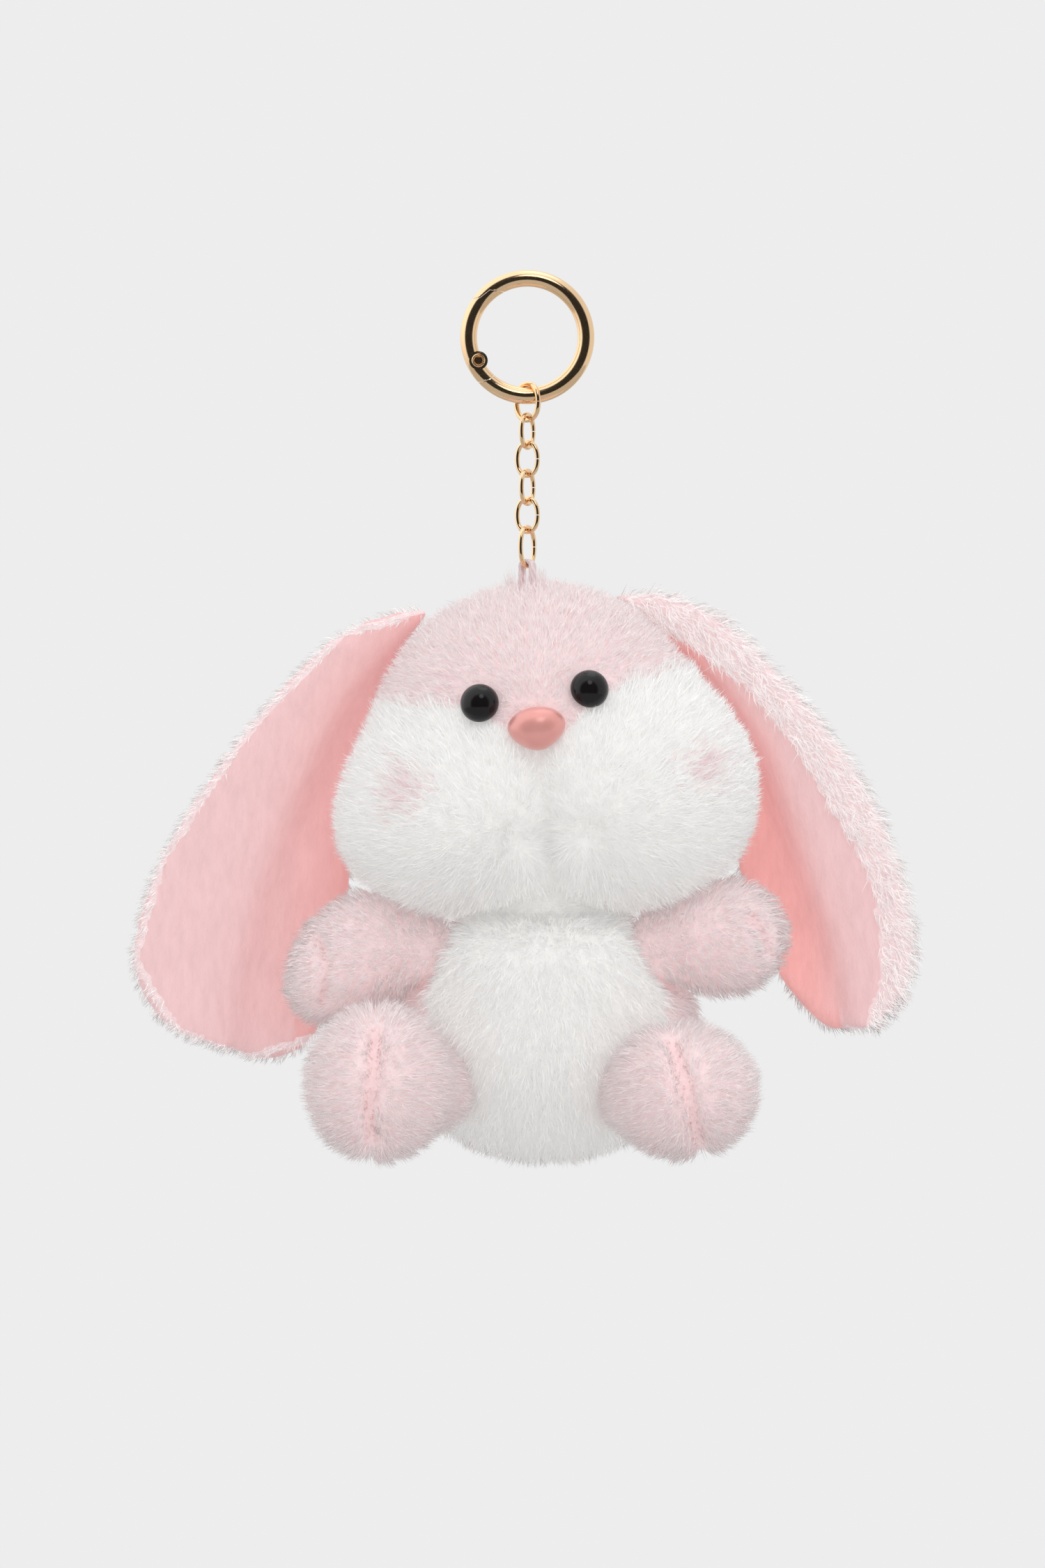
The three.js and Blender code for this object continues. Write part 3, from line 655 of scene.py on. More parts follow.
def strands(name, body, at, n, comb, length, lean, tint, materials, long_share=0.25, thick=0.115):
    """Tapering fibres as three-sided cones, open at the root, clumped into small locks."""
    count = len(at)
    t = unit(comb - n * (comb * n).sum(axis=1, keepdims=True) + 1e-9)
    s = np.cross(n, t)
    swing = rng.normal(0, 0.5, count)
    t = unit(t * np.cos(swing)[:, None] + s * np.sin(swing)[:, None])
    lean = lean + rng.normal(0, 0.16, count)
    first, second = lean * 0.65, np.clip(lean * 1.3, 0, 1.45)
    d0 = n * np.cos(first)[:, None] + t * np.sin(first)[:, None]
    d1 = n * np.cos(second)[:, None] + t * np.sin(second)[:, None]
    L = (length * rng.uniform(0.75, 1.2, count))[:, None]
    root = at - n * 0.4 * MM
    mid = root + d0 * L * 0.55
    tip = mid + d1 * L * 0.45
    # locks: neighbours lean to a shared tip
    seeds = rng.choice(count, max(1, count // 16), replace=False)
    kd = KDTree(len(seeds))
    for k, i in enumerate(seeds):
        kd.insert(Vector(at[i]), k)
    kd.balance()
    lock = np.array([seeds[kd.find(Vector(p))[1]] for p in at])
    pull = rng.uniform(0.05, 0.5, count)
    apart = np.linalg.norm(at - at[lock], axis=1)
    pull = np.where((apart < 2.6 * MM) & ((n * n[lock]).sum(axis=1) > 0.7), pull, 0)[:, None]
    tip = tip * (1 - pull) + tip[lock] * pull
    mid = mid * (1 - 0.35 * pull) + mid[lock] * 0.35 * pull
    is_long = rng.random(count) < long_share
    u = unit(np.cross(d0, rng.normal(size=(count, 3))))
    w = np.cross(d0, u)
    rad = (thick * MM * rng.uniform(0.8, 1.2, count))[:, None]
    rings, radials = [], []
    for k in range(3):
        a = 2 * math.pi * k / 3
        radials.append(u * math.cos(a) + w * math.sin(a))
        rings.append(root + radials[k] * rad)
    mids = [mid + r * rad * 0.72 for r in radials]

    def build(which, two):
        c = len(which)
        if not c:
            return None
        if two:
            V = np.stack([rings[0], rings[1], rings[2], mids[0], mids[1], mids[2], tip], axis=1)[which]
            nn = n[which]
            rr = [r[which] for r in radials]
            VN = np.stack([unit(nn * 0.7 + r * 0.65) for r in rr] + [unit(nn * 0.7 + r * 0.6) for r in rr]
                          + [unit(nn + d1[which] * 0.35)], axis=1)
            pattern = np.array([0, 1, 4, 3, 1, 2, 5, 4, 2, 0, 3, 5, 3, 4, 6, 4, 5, 6, 5, 3, 6])
            sizes = np.array([4, 4, 4, 3, 3, 3])
            kind = np.array([0, 0, 0, 1, 1, 1])
            per = 7
        else:
            V = np.stack([rings[0], rings[1], rings[2], tip], axis=1)[which]
            nn = n[which]
            rr = [r[which] for r in radials]
            VN = np.stack([unit(nn * 0.7 + r * 0.65) for r in rr] + [unit(nn + d1[which] * 0.35)], axis=1)
            pattern = np.array([0, 1, 3, 1, 2, 3, 2, 0, 3])
            sizes = np.array([3, 3, 3])
            kind = np.array([1, 1, 1])
            per = 4
        loops = (np.arange(c)[:, None] * per + pattern).ravel()
        return (V.reshape(-1, 3), VN.reshape(-1, 3), loops, np.tile(sizes, c),
                (2 * tint[which][:, None] + kind).ravel())

    made = [m for m in (build(np.where(is_long)[0], True), build(np.where(~is_long)[0], False)) if m]
    V = np.vstack([m[0] for m in made])
    VN = np.vstack([m[1] for m in made])
    base = np.cumsum([0] + [len(m[0]) for m in made])
    loops = np.concatenate([m[2] + b for m, b in zip(made, base)]).astype(np.int32)
    sizes = np.concatenate([m[3] for m in made])
    index = np.concatenate([m[4] for m in made]).astype(np.int32)
    me = bpy.data.meshes.new(name)
    me.vertices.add(len(V))
    me.vertices.foreach_set("co", V.astype(np.float32).ravel())
    me.loops.add(len(loops))
    me.loops.foreach_set("vertex_index", loops)
    me.polygons.add(len(sizes))
    starts = np.concatenate([[0], np.cumsum(sizes)[:-1]]).astype(np.int32)
    me.polygons.foreach_set("loop_start", starts)
    for m in materials:
        me.materials.append(m)
    me.polygons.foreach_set("material_index", index)
    me.polygons.foreach_set("use_smooth", np.ones(len(sizes), bool))
    me.update(calc_edges=True)
    me.validate()
    me.normals_split_custom_set_from_vertices(VN.astype(np.float32))
    ob = bpy.data.objects.new(name, me)
    scene.collection.objects.link(ob)
    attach(ob, body)
    print(name, "strands", count, "faces", len(sizes))
    return ob


def face_labels(form):
    """A node number for each face; the stuffing in a seam takes its neighbour's."""
    label = form["label"].copy()
    stuffing = len(form["nodes"]) - 1
    label[label == stuffing] = -1
    for _ in range(40):
        bare = label < 0
        if not bare.any():
            break
        label = np.where(bare, spread(label, form["E"], np.maximum), label)
    return label[form["F"][:, 0]]


def dress(name, pile, density, length, lean, comb_of, crease=None):
    """The pile of one plain-coloured form, parted along its sewn crease, with the shade there painted as deeper
    pink fibres.
    """
    form = forms[name]
    at, n, L, keep = grow(name, density, np.arange(len(form["F"])), length)
    at, n, L = at[keep], n[keep], L[keep]
    tint = rng.integers(0, len(pile) // 2, len(at))
    lean = np.full(len(at), lean)
    if crease is not None:
        shorten_at(crease, 2.0, at, n, L)
        # Front fibres close to the crease take the painted crease shade.
        d = np.where(n[:, 1] < -0.1, to_line(at, crease) / MM, 99)
        tint = np.where(d < 0.3 + rng.random(len(at)) * 0.9, len(pile) // 2, tint)
        lean += 0.4 * np.exp(-((d / 2.5) ** 2))
        pile = pile + crease_shade_fibres
    strands(f"{name}_pile", form["body"], at, n, comb_of(at), L, lean, tint, pile)


def away_from(point):
    point = np.array(point)
    return lambda at: unit(at - point)


def shorten_at(line, width, at, n, L):
    """Makes the front pile shorter close to a line, in place."""
    d = to_line(at, line) / (width * MM)
    front = n[:, 1] < -0.1
    L *= np.where(front, np.clip(0.45 + 0.55 * d / 1.5, 0.45, 1), 1)


# head: pink crown and back, white muzzle
head = forms["head"]
white_head = np.isin(face_labels(head), [1, 2])  # muzzle_left and muzzle_right
nose_at = np.array(nose_middle)


def muzzle_comb(at):
    """Out from the pulled-in stitch of each cheek."""
    left = np.linalg.norm(at[:, [0, 2]] - dimples[0], axis=1)
    right = np.linalg.norm(at[:, [0, 2]] - dimples[1], axis=1)
    share = (1 / (1 + np.exp((left - right) / (1.5 * MM))))[:, None]
    depth = head["centre"][1] - 20 * MM
    a = unit(at - np.array([dimples[0][0], depth, dimples[0][1]]))
    b = unit(at - np.array([dimples[1][0], depth, dimples[1][1]]))
    return a * share + b * (1 - share)


def head_comb(at):
    out = unit(at - (nose_at + np.array([0, 8 * MM, 0])))
    back = np.clip((at[:, 1] - nose_at[1] - 0.028) / 0.02, 0, 1)[:, None]
    return out * (1 - back) + np.array([0, 0.1, -1.0]) * back


blush_spots = [spot(-24, -105.6), spot(36.5, -101)]


def head_pile(name, mask, slot_name, pile, density, length):
    at, n, L, keep = grow("head", density, np.where(mask)[0], length)
    white = slot_name == "white_plush"
    # bare under each eye and the nose, and shorter round them
    for c, wide, bare, full in [(c, 1, 3.7, 8) for c in eye_centres] + [(nose_middle, 1.25, 4.6, 9)]:
        d = np.hypot((at[:, 0] - c.x) / wide, at[:, 2] - c.z) / MM
        front = at[:, 1] < c.y + 12 * MM
        keep &= ~(front & (d < bare))
        L = np.where(front & (d < full), L * np.clip(d / full, 0.55, 1), L)
    for i in np.where(np.linalg.norm(at[:, :2], axis=1) < 7 * MM)[0]:
        hit = metal_tree.find_nearest(Vector(at[i]), 3.5 * MM)
        if hit[0] is not None and hit[3] < 1.2 * MM:
            keep[i] = False
    if white:
        shorten_at(cleft, 2.0, at, n, L)
        for dimple in dimples:
            shorten_at([dimple, dimple + 1e-4], 1.2, at, n, L)
    tuft = np.linalg.norm(at[:, :2], axis=1) < 4.2 * MM
    tuft &= at[:, 2] > nose_at[2]
    L = np.where(tuft, 5.6 * MM, L)
    at, n, L, tuft = at[keep], n[keep], L[keep], tuft[keep]
    tint = rng.integers(0, 3, len(at))
    if white:
        for s in blush_spots:
            d = np.hypot(at[:, 0] - s[0], at[:, 2] - s[1]) / (3.6 * MM)
            hit = (rng.random(len(at)) < 0.75 * np.exp(-d**2 * 0.6)) & (n[:, 1] < 0)
            tint = np.where(hit, 3, tint)
        pile = pile + blush_fibres
    lean = np.where(tuft, 0.3, 0.86)
    if white:
        for dimple in dimples:
            away = np.linalg.norm(at[:, [0, 2]] - dimple, axis=1) / MM
            lean = np.minimum(lean, 0.3 + 0.56 * np.clip(away / 4.5, 0, 1))
    comb = muzzle_comb if white else head_comb
    strands(name, "head", at, n, comb(at), L, lean, tint, pile)


head_front = head["P"][head["F"]].mean(axis=1)[:, 1] < head["centre"][1] + 4 * MM
head_pile("muzzle_pile", white_head, "white_plush", white_fibres, 3.8, 4.7)
head_pile("crown_pile", ~white_head & head_front, "pink_plush", pink_fibres, 3.6, 4.0)
head_pile("nape_pile", ~white_head & ~head_front, "pink_plush", pink_fibres, 2.0, 4.4)

torso = forms["torso"]
white_torso = face_labels(torso) == 0  # belly


def torso_pile(name, mask, pile, density, length):
    at, n, L, keep = grow("torso", density, np.where(mask)[0], length)
    at, n, L = at[keep], n[keep], L[keep]
    out = (at - torso["centre"]) / MM
    comb = np.stack([out[:, 0] * 0.03, out[:, 1] * 0.02, np.full(len(at), -1.0)], axis=1)
    strands(name, "torso", at, n, comb, L, np.full(len(at), 0.8),
            rng.integers(0, 3, len(at)), pile)


torso_pile("belly_pile", white_torso, white_fibres, 3.4, 4.4)
torso_pile("back_pile", ~white_torso, pink_fibres, 2.0, 4.4)


def away_from_line(line, form):
    """Out from a sewn crease on the front, and on over the sides."""
    def comb(at):
        best = np.full(len(at), 1e9)
        away = np.zeros((len(at), 2))
        for a, b in zip(line, line[1:]):
            step = from_piece(at[:, [0, 2]], a, b)
            d = np.linalg.norm(step, axis=1)
            away = np.where((d < best)[:, None], step, away)
            best = np.minimum(best, d)
        away = away / np.maximum(best, 1e-6)[:, None]
        back = (at[:, 1] - form["centre"][1]) / (12 * MM)
        return np.stack([away[:, 0], 0.25 + 0.3 * np.clip(back, 0, 1), away[:, 1]], axis=1)

    return comb


for name in ("arm_left", "arm_right"):
    shoulder = forms["torso"]["centre"] * np.array([1, 1, 0]) + np.array([0, 0, forms[name]["centre"][2]])
    dress(name, pink_fibres, 3.4, 4.0, 0.75, away_from(shoulder), creases[name])
for name in ("leg_left", "leg_right"):
    dress(name, pink_fibres, 3.4, 4.0, 0.72, away_from_line(creases[name], forms[name]),
          creases[name])
dress("tail", pink_fibres, 3.0, 5.0, 0.5, away_from(forms["tail"]["centre"]))

for name in ("ear_left", "ear_right"):
    form = forms[name]
    lined_face = form["lined"][form["F"]].all(axis=1)
    spec = ear_lines[name]
    root, tip = np.array(spec["root"]), np.array(spec["tip"])
    run = tip - root
    at, n, L, keep = grow(name, 3.3, np.where(~lined_face)[0], 2.7)
    tint = rng.integers(0, 3, len(at))
    lean = np.full(len(at), 0.85)
    # Near the rim the pile takes the paler rim fibres: partly their own colour, partly painted light over the
    # shade between dense fibres.
    pale = to_line(at, spec["rim"]) < 3.5 * MM
    if name == "ear_right":
        outer = left_of(at, spec["rim"])
        pale |= outer
        L = np.where(outer, L * 1.6, L)
        lean = np.where(outer, 1.05, lean)
    tint = np.where(pale & (rng.random(len(at)) < 0.8), rng.integers(3, 5, len(at)), tint)
    at, n, L, tint, lean = at[keep], n[keep], L[keep], tint[keep], lean[keep]
    comb = np.tile(np.array([run[0], 0, run[1]]), (len(at), 1)) / np.linalg.norm(run)
    comb[:, 0] += 0.35 * spec["away"]
    strands(name + "_pile", name, at, n, comb, L, lean, tint, pink_fibres + rim_lit_fibres)


# ---------------------------------------------------------------- skins as objects
def skin_object(name, index, materials):
    form = forms[name]
    ob = mesh_object(name + "_skin", form["P"], form["F"], materials, index)
    stands_for(ob, form["nodes"], form["body"])
    return ob


pink_and_white = [pink_backing, white_backing]
skin_object("head", white_head.astype(int), pink_and_white)
skin_object("torso", white_torso.astype(int), pink_and_white)
for name in ("arm_left", "arm_right", "leg_left", "leg_right", "tail"):
    skin_object(name, None, [pink_backing])
for name in ("ear_left", "ear_right"):
    form = forms[name]
    lined_face = form["lined"][form["F"]].all(axis=1)
    ob = skin_object(name, lined_face.astype(int), [pink_backing, lining])
    # Painted fold shade of the lining, one value per vertex.
    attribute = ob.data.attributes.new("shade", "FLOAT", "POINT")
    attribute.data.foreach_set("value", ear_shade(form, name).astype(np.float32))


# ---------------------------------------------------------------- metal
def tube(name, path, frames, radius, sides, closed, material):
    """A round tube through points, each with two side directions."""
    verts, faces = [], []
    count = len(path)
    for p, (a, b) in zip(path, frames):
        for k in range(sides):
            t = 2 * math.pi * k / sides
            verts.append(p + a * (radius * math.cos(t)) + b * (radius * math.sin(t)))
    for i in range(count if closed else count - 1):
        j = (i + 1) % count
        for k in range(sides):
            m = (k + 1) % sides
            faces.append((i * sides + k, i * sides + m, j * sides + m, j * sides + k))
    if not closed:
        faces.append(tuple(reversed(range(sides))))
        faces.append(tuple((count - 1) * sides + k for k in range(sides)))
    return mesh_object(name, verts, faces, [material])


def tidy_normals(ob):
    bm = bmesh.new()
    bm.from_mesh(ob.data)
    bmesh.ops.recalc_face_normals(bm, faces=bm.faces[:])
    bm.to_mesh(ob.data)
    bm.free()


def smooth_by_angle(ob, degrees=35):
    bm = bmesh.new()
    bm.from_mesh(ob.data)
    limit = math.radians(degrees)
    for e in bm.edges:
        e.smooth = len(e.link_faces) == 2 and e.calc_face_angle(0) < limit
    for f in bm.faces:
        f.smooth = True
    bm.to_mesh(ob.data)
    bm.free()


def oval(node, width, wire, turn):
    """A link bent from wire, with the fine split where its ends meet."""
    lo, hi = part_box(node)
    c = middle_of(node)
    half_l = (hi[2] - lo[2] - wire) / 2
    half_w = (width - wire) / 2
    steps, sides = 112, 20

    def at(t):
        def squarer(v):
            return math.copysign(abs(v) ** 0.9, v)

        return Vector((half_w * squarer(math.cos(t)), 0, half_l * squarer(math.sin(t))))

    gap = 0.05 * MM / half_l
    path, frames = [], []
    spin = Matrix.Rotation(math.radians(turn), 3, "Z")
    for i in range(steps):
        t = gap + (2 * math.pi - 2 * gap) * i / (steps - 1)
        along = (at(t + 0.01) - at(t - 0.01)).normalized()
        side = Vector((0, 1, 0))
        out = along.cross(side).normalized()
        path.append(spin @ at(t) + c)
        frames.append((spin @ out, spin @ side))
    ob = tube(node + "_wire", path, frames, wire / 2, sides, False, gold_metal)
    tidy_normals(ob)
    smooth_by_angle(ob, 50)
    stands_for(ob, [node], node)


oval("top_ring", 8.2 * MM, 1.2 * MM, -50)
for i, turn in enumerate((60, -30, 60, -30)):
    oval(f"link_{i + 1}", 5.9 * MM, 1.0 * MM, turn)
oval("end_ring", 6.6 * MM, 1.0 * MM, 60)

# gate ring: a round-section torus, cut where the gate meets it
RING_D, RING_WIRE = 28, 3.5  # mm
wire_r = RING_WIRE / 2 * MM
ring_r = (RING_D - RING_WIRE) / 2 * MM
ring_mid = Vector((0, 0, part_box("ring_body")[1][2] - RING_D / 2 * MM))
pin = middle_of("gate_pin")
cutter = 5 * MM  # half the depth of a block that cuts right through the wire
knuckle_r, knuckle_gap = 4.4 * MM, 0.13 * MM


def full_ring(name):
    path, frames = [], []
    for i in range(160):
        a = 2 * math.pi * i / 160
        out = Vector((math.cos(a), 0, math.sin(a)))
        path.append(ring_mid + out * ring_r)
        frames.append((out, Vector((0, 1, 0))))
    ob = tube(name, path, frames, wire_r, 40, True, gold_metal)
    tidy_normals(ob)
    return ob


def prism(name, points, depth):
    """A block over an outline in X and Z."""
    n = len(points)
    verts = [(x, -depth, z) for x, z in points] + [(x, depth, z) for x, z in points]
    faces = [tuple(range(n)), tuple(reversed(range(n, 2 * n)))]
    faces += [(i, (i + 1) % n, n + (i + 1) % n, n + i) for i in range(n)]
    ob = mesh_object(name, verts, faces, [gold_metal], smooth=False)
    tidy_normals(ob)
    return ob


def disc(name, x, z, radius, depth, start=0, end=360, steps=64):
    turn = [math.radians(start + (end - start) * i / steps) for i in range(steps + (end - start < 360))]
    return prism(name, [(x + radius * math.cos(a), z + radius * math.sin(a)) for a in turn], depth)


def combine(ob, tool, operation):
    """Cuts or joins ob with a tool, which is used up."""
    m = ob.modifiers.new("cut", "BOOLEAN")
    m.object = tool
    m.operation = operation
    m.solver = "EXACT"
    me = bpy.data.meshes.new_from_object(ob.evaluated_get(bpy.context.evaluated_depsgraph_get()))
    ob.modifiers.clear()
    old = ob.data
    ob.data = me
    bpy.data.meshes.remove(old)
    bpy.data.objects.remove(tool)


def ring_point(angle, across):
    """A place by its angle, and its distance from the wire's centre line in wire radii."""
    r = ring_r + across * wire_r
    a = math.radians(angle)
    return (ring_mid.x + r * math.cos(a), ring_mid.z + r * math.sin(a))


latch = [ring_point(*p) for p in ((154.3, 3.15), (144.6, 0.785), (140.4, 0.266), (128.8, 0.112),
                                  (113.5, -1.27))]
inside_x, outside_x = pin.x + 6 * MM, ring_mid.x - ring_r - 3.3 * wire_r
beside = [(inside_x, ring_mid.z + 5 * MM), (inside_x, pin.z), (outside_x, pin.z)]
raised = [(x - 0.05 * MM, z + 0.15 * MM) for x, z in latch]
body_part = full_ring("ring_body_look")
combine(body_part, prism("gate_room", raised + beside, cutter), "DIFFERENCE")
combine(body_part, disc("knuckle_room", pin.x, pin.z, knuckle_r + knuckle_gap, cutter), "DIFFERENCE")
gate_part = full_ring("ring_gate_look")
region = prism("region", latch + beside, cutter)
combine(region, disc("knuckle", pin.x, pin.z, knuckle_r, cutter, 180, 360), "UNION")
combine(gate_part, region, "INTERSECT")
combine(gate_part, disc("lug", pin.x, pin.z, 1.95 * MM, 1.6 * MM), "UNION")
combine(gate_part, disc("bore", pin.x, pin.z, 0.85 * MM, 1.2 * cutter), "DIFFERENCE")
for ob, node, body in ((body_part, "ring_body", "ring"), (gate_part, "ring_gate", "gate")):
    bevel = ob.modifiers.new("edge", "BEVEL")
    bevel.width = 0.16 * MM
    bevel.segments = 2
    bevel.limit_method = "ANGLE"
    bevel.angle_limit = math.radians(40)
    me = bpy.data.meshes.new_from_object(ob.evaluated_get(bpy.context.evaluated_depsgraph_get()))
    ob.modifiers.clear()
    ob.data = me
    smooth_by_angle(ob, 40)
    stands_for(ob, [node], body)


def revolve(name, profile, place, material, steps=64, shape=None):
    """A lathed form: profile of radius and height, then placed by a matrix."""
    verts, faces = [], []
    n = len(profile)
    for i in range(steps):
        a = 2 * math.pi * i / steps
        for r, h in profile:
            p = Vector((r * math.cos(a), r * math.sin(a), h))
            if shape:
                p = shape(p)
            verts.append(place @ p)
    for i in range(steps):
        j = (i + 1) % steps
        for k in range(n - 1):
            faces.append((i * n + k, j * n + k, j * n + k + 1, i * n + k + 1))
    ob = mesh_object(name, verts, faces, [material])
    bm = bmesh.new()
    bm.from_mesh(ob.data)
    bmesh.ops.remove_doubles(bm, verts=bm.verts[:], dist=1e-7)
    bmesh.ops.recalc_face_normals(bm, faces=bm.faces[:])
    bm.to_mesh(ob.data)
    bm.free()
    smooth_by_angle(ob, 40)
    return ob


pin_lo, pin_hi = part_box("gate_pin")
half_t = (pin_hi[1] - pin_lo[1]) / 2
face = half_t / MM
half_rivet = [(0.0, 0.1), (0.72, 0.1), (0.78, face - 0.35), (0.95, face - 0.12), (1.08, face), (1.25, face),
              (1.4, face - 0.15), (1.4, face - 0.35), (0.8, face - 0.36)]
profile = [(r, -h) for r, h in half_rivet] + list(reversed(half_rivet))
upright = Matrix.Translation(pin) @ Matrix.Rotation(math.radians(90), 4, "X")
pin_look = revolve("gate_pin_look", [(r * MM, h * MM) for r, h in profile], upright, gold_metal, 48)
stands_for(pin_look, ["gate_pin"], "ring")


# ---------------------------------------------------------------- eyes and nose
eye_turn = math.radians(10.5)  # the left eye leans in toward the nose, about its washer


def trim_frame(node):
    """The seat of an eye or nose: the washer inside lies on the same axis."""
    co, _ = arrays(node + "_washer")
    co = np.unique(np.round(co, 7), axis=0)
    middle = co.mean(axis=0)
    _, vectors = np.linalg.eigh(np.cov((co - middle).T))
    axis = vectors[:, 0]
    if axis[1] > 0:
        axis = -axis
    trim, _ = arrays(node)
    apex = ((trim - middle) @ axis).max()
    axis = Matrix.Rotation(eye_turn if node == "eye_left" else 0, 3, "Z") @ Vector(axis)
    across = Vector((math.cos(math.radians(-7)), 0, -math.sin(math.radians(-7))))
    right = (across - axis * across.dot(axis)).normalized()
    up = axis.cross(right)
    if up.z < 0:
        up = -up
    top = Vector(middle) + axis * apex
    m = Matrix((right, up, axis)).transposed().to_4x4()
    m.translation = top
    return m


black = moulded("black_eye", (0.007, 0.006, 0.006, 1), (0.011, 0.009, 0.010, 1), (0.10, 0.17), 0.15,
                Specular_IOR_Level=0.22)
pearl = moulded("pearl_nose", srgb(234, 150, 143), srgb(245, 178, 170), (0.28, 0.42), 0.5, Metallic=0.25,
                Sheen_Weight=0.2)
clear_white = moulded("washer_white", (0.72, 0.72, 0.7, 1), (0.8, 0.8, 0.78, 1), (0.35, 0.5))


def dome(node, width, height, deep, material):
    """A safety eye or nose in millimetres: its dome, and the shank through the cloth to the washer."""
    half = width / 2
    profile = [(0.0, -deep - 7.0), (0.9, -deep - 7.0), (1.2, -deep - 6.6), (1.2, -deep), (half * 0.94, -deep),
               (half, -deep + 0.4)]
    for i in range(1, 25):
        a = i / 24 * math.pi / 2
        profile.append((half * math.cos(a) if i < 24 else 0.0, -deep + 0.4 + (deep - 0.4) * math.sin(a)))

    def nose_shape(p):
        if p.z < (-deep - 0.01) * MM:
            return p
        up = p.y / (half * MM)
        return Vector((p.x * (1 + 0.16 * up - 0.1 * up * up), p.y * height / width, p.z))

    ob = revolve(node + "_look", [(r * MM, h * MM) for r, h in profile], trim_frame(node), material, 72,
                 nose_shape if height != width else None)
    stands_for(ob, [node], "head")


for eye in ("eye_left", "eye_right"):
    dome(eye, EYE_D, EYE_D, 4.1, black)
dome("nose", NOSE_W, NOSE_H, 4.4, pearl)


# ---------------------------------------------------------------- sewn tape loop
def tape_loop():
    lo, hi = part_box("hanging_loop")
    thick, wide = 0.8 * MM, 2.2 * MM
    r = 1.25 * MM
    axis_z = hi[2] - r - thick / 2
    x0, y0 = (lo[0] + hi[0]) / 2, (lo[1] + hi[1]) / 2
    path = []
    foot = lo[2]
    for k in range(12):
        path.append((-r, foot + (axis_z - foot) * k / 12, (-1, 0)))
    for k in range(25):
        a = math.pi - math.pi * k / 24
        path.append((r * math.cos(a), axis_z + r * math.sin(a), (math.cos(a), math.sin(a))))
    for k in range(12):
        path.append((r, axis_z - (axis_z - foot) * (k + 1) / 12, (1, 0)))

    def boxy(v):
        return math.copysign(abs(v) ** 0.35, v)

    turns = [2 * math.pi * k / 24 for k in range(24)]
    section = [(boxy(math.cos(a)) * thick / 2, boxy(math.sin(a)) * wide / 2) for a in turns]
    spin = Matrix.Rotation(math.radians(60 - 90), 3, "Z")
    verts, faces = [], []
    for x, z, out in path:
        for across, side in section:
            p = Vector((x + out[0] * across, side, z + out[1] * across))
            q = spin @ Vector((p.x, p.y, 0))
            verts.append((q.x + x0, q.y + y0, p.z))
    n = len(section)
    for i in range(len(path) - 1):
        for k in range(n):
            m = (k + 1) % n
            faces.append((i * n + k, i * n + m, (i + 1) * n + m, (i + 1) * n + k))
    faces.append(tuple(range(n)))
    faces.append(tuple((len(path) - 1) * n + k for k in reversed(range(n))))
    ob = mesh_object("hanging_loop_tape", verts, faces, [woven("tape_weave", srgb(250, 230, 232))])
    tidy_normals(ob)
    stands_for(ob, ["hanging_loop"], "head")


tape_loop()

# ---------------------------------------------------------------- carried-over nodes
for node in ("eye_left_washer", "eye_right_washer", "nose_washer"):
    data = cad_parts[node].data
    data.materials.clear()
    data.materials.append(clear_white)
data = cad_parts["gate_spring"].data
data.materials.clear()
data.materials.append(gold_metal)


# ---------------------------------------------------------------- floor, light and air
def floor():
    s = Shader("studio_floor")
    s.colour(s.mix(s.noise(6), (0.60, 0.60, 0.60, 1), (0.604, 0.604, 0.604, 1)))
    s.roughness(s.range(s.noise(20), 0.8, 0.95))
    s.bump(s.noise(300), 0.03, 0.1 * MM)
    z = cad_box[0][2] - 200 * MM
    rim = [(0.9 * math.cos(2 * math.pi * i / 96), 0.9 * math.sin(2 * math.pi * i / 96), z) for i in range(96)]
    ob = mesh_object("floor", rim, [tuple(range(96))], [s.material], smooth=False)


floor()
world = bpy.data.worlds.new("studio")
scene.world = world
world.use_nodes = True
wt = world.node_tree
wt.nodes.clear()


def wnode(kind, **values):
    n = wt.nodes.new(kind)
    for key, value in values.items():
        n.inputs[key].default_value = value
    return n


def wmath(operation, a, b=None):
    n = wt.nodes.new("ShaderNodeMath")
    n.operation = operation
    for socket, value in zip(n.inputs, (a, b)):
        if value is None:
            continue
        if isinstance(value, (int, float)):
            socket.default_value = value
        else:
            wt.links.new(value, socket)
    return n.outputs[0]


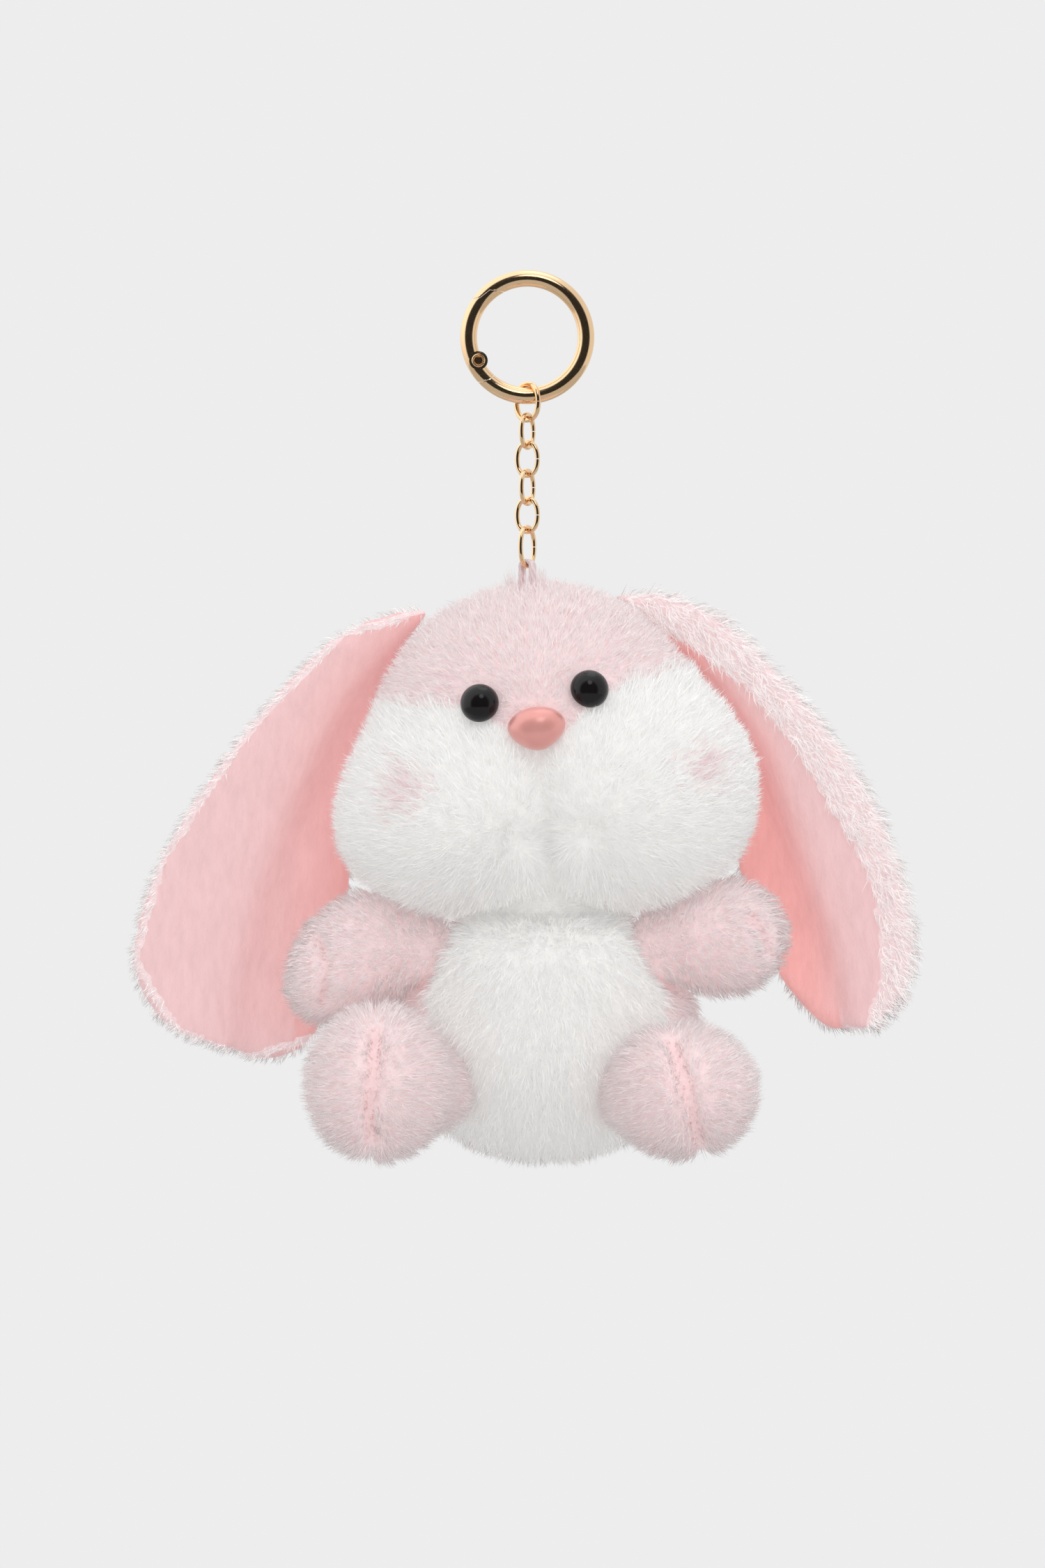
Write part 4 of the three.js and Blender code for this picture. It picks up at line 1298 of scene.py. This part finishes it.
def wrange(value, a, b, low, high):
    n = wnode("ShaderNodeMapRange", **{"From Min": a, "From Max": b, "To Min": low, "To Max": high})
    n.interpolation_type = "SMOOTHSTEP"
    wt.links.new(value, n.inputs["Value"])
    return n.outputs["Result"]


where = wt.nodes.new("ShaderNodeTexCoord")
parts = wt.nodes.new("ShaderNodeSeparateXYZ")
wt.links.new(where.outputs["Generated"], parts.inputs[0])
x, y, z = parts.outputs
rays = wt.nodes.new("ShaderNodeLightPath")
soft = wrange(z, -0.9, 0.9, 0.84, 0.87)
dark = wrange(wmath("MULTIPLY", y, -1.0), 0.48, 0.72, 1.0, 0.03)
bright = wrange(wmath("ADD", wmath("MULTIPLY", x, -0.6), wmath("MULTIPLY", z, 0.8)), 0.1, 0.8, 0.85, 1.35)
glossy = wmath("MULTIPLY", dark, bright)
lit = wmath("ADD", wmath("MULTIPLY", glossy, rays.outputs["Is Glossy Ray"]),
            wmath("MULTIPLY", soft, wmath("SUBTRACT", 1.0, rays.outputs["Is Glossy Ray"])))
seen = srgb(237, 237, 237)[0]
strength = wmath("ADD", wmath("MULTIPLY", rays.outputs["Is Camera Ray"], seen),
                 wmath("MULTIPLY", lit, wmath("SUBTRACT", 1.0, rays.outputs["Is Camera Ray"])))
shade = wt.nodes.new("ShaderNodeBackground")
shade.inputs["Color"].default_value = (1, 1, 1, 1)
wt.links.new(strength, shade.inputs["Strength"])
out = wt.nodes.new("ShaderNodeOutputWorld")
wt.links.new(shade.outputs[0], out.inputs["Surface"])


def area(name, at, size, power, target, mirrored=True):
    data = bpy.data.lights.new(name, "AREA")
    data.shape = "DISK"
    data.size = size
    data.energy = power
    ob = bpy.data.objects.new(name, data)
    scene.collection.objects.link(ob)
    ob.visible_glossy = mirrored
    ob.location = at
    ob.rotation_euler = (Vector(target) - Vector(at)).to_track_quat("-Z", "Y").to_euler()


rabbit = Vector((0, 0, -0.12))
area("key", (0.1, -0.65, 0.5), 0.35, 0.62, rabbit)
area("top", (0.15, 0.1, 0.75), 0.5, 0.35, rabbit)
area("fill", (0.3, -1.0, -0.65), 0.9, 3.6, rabbit, False)
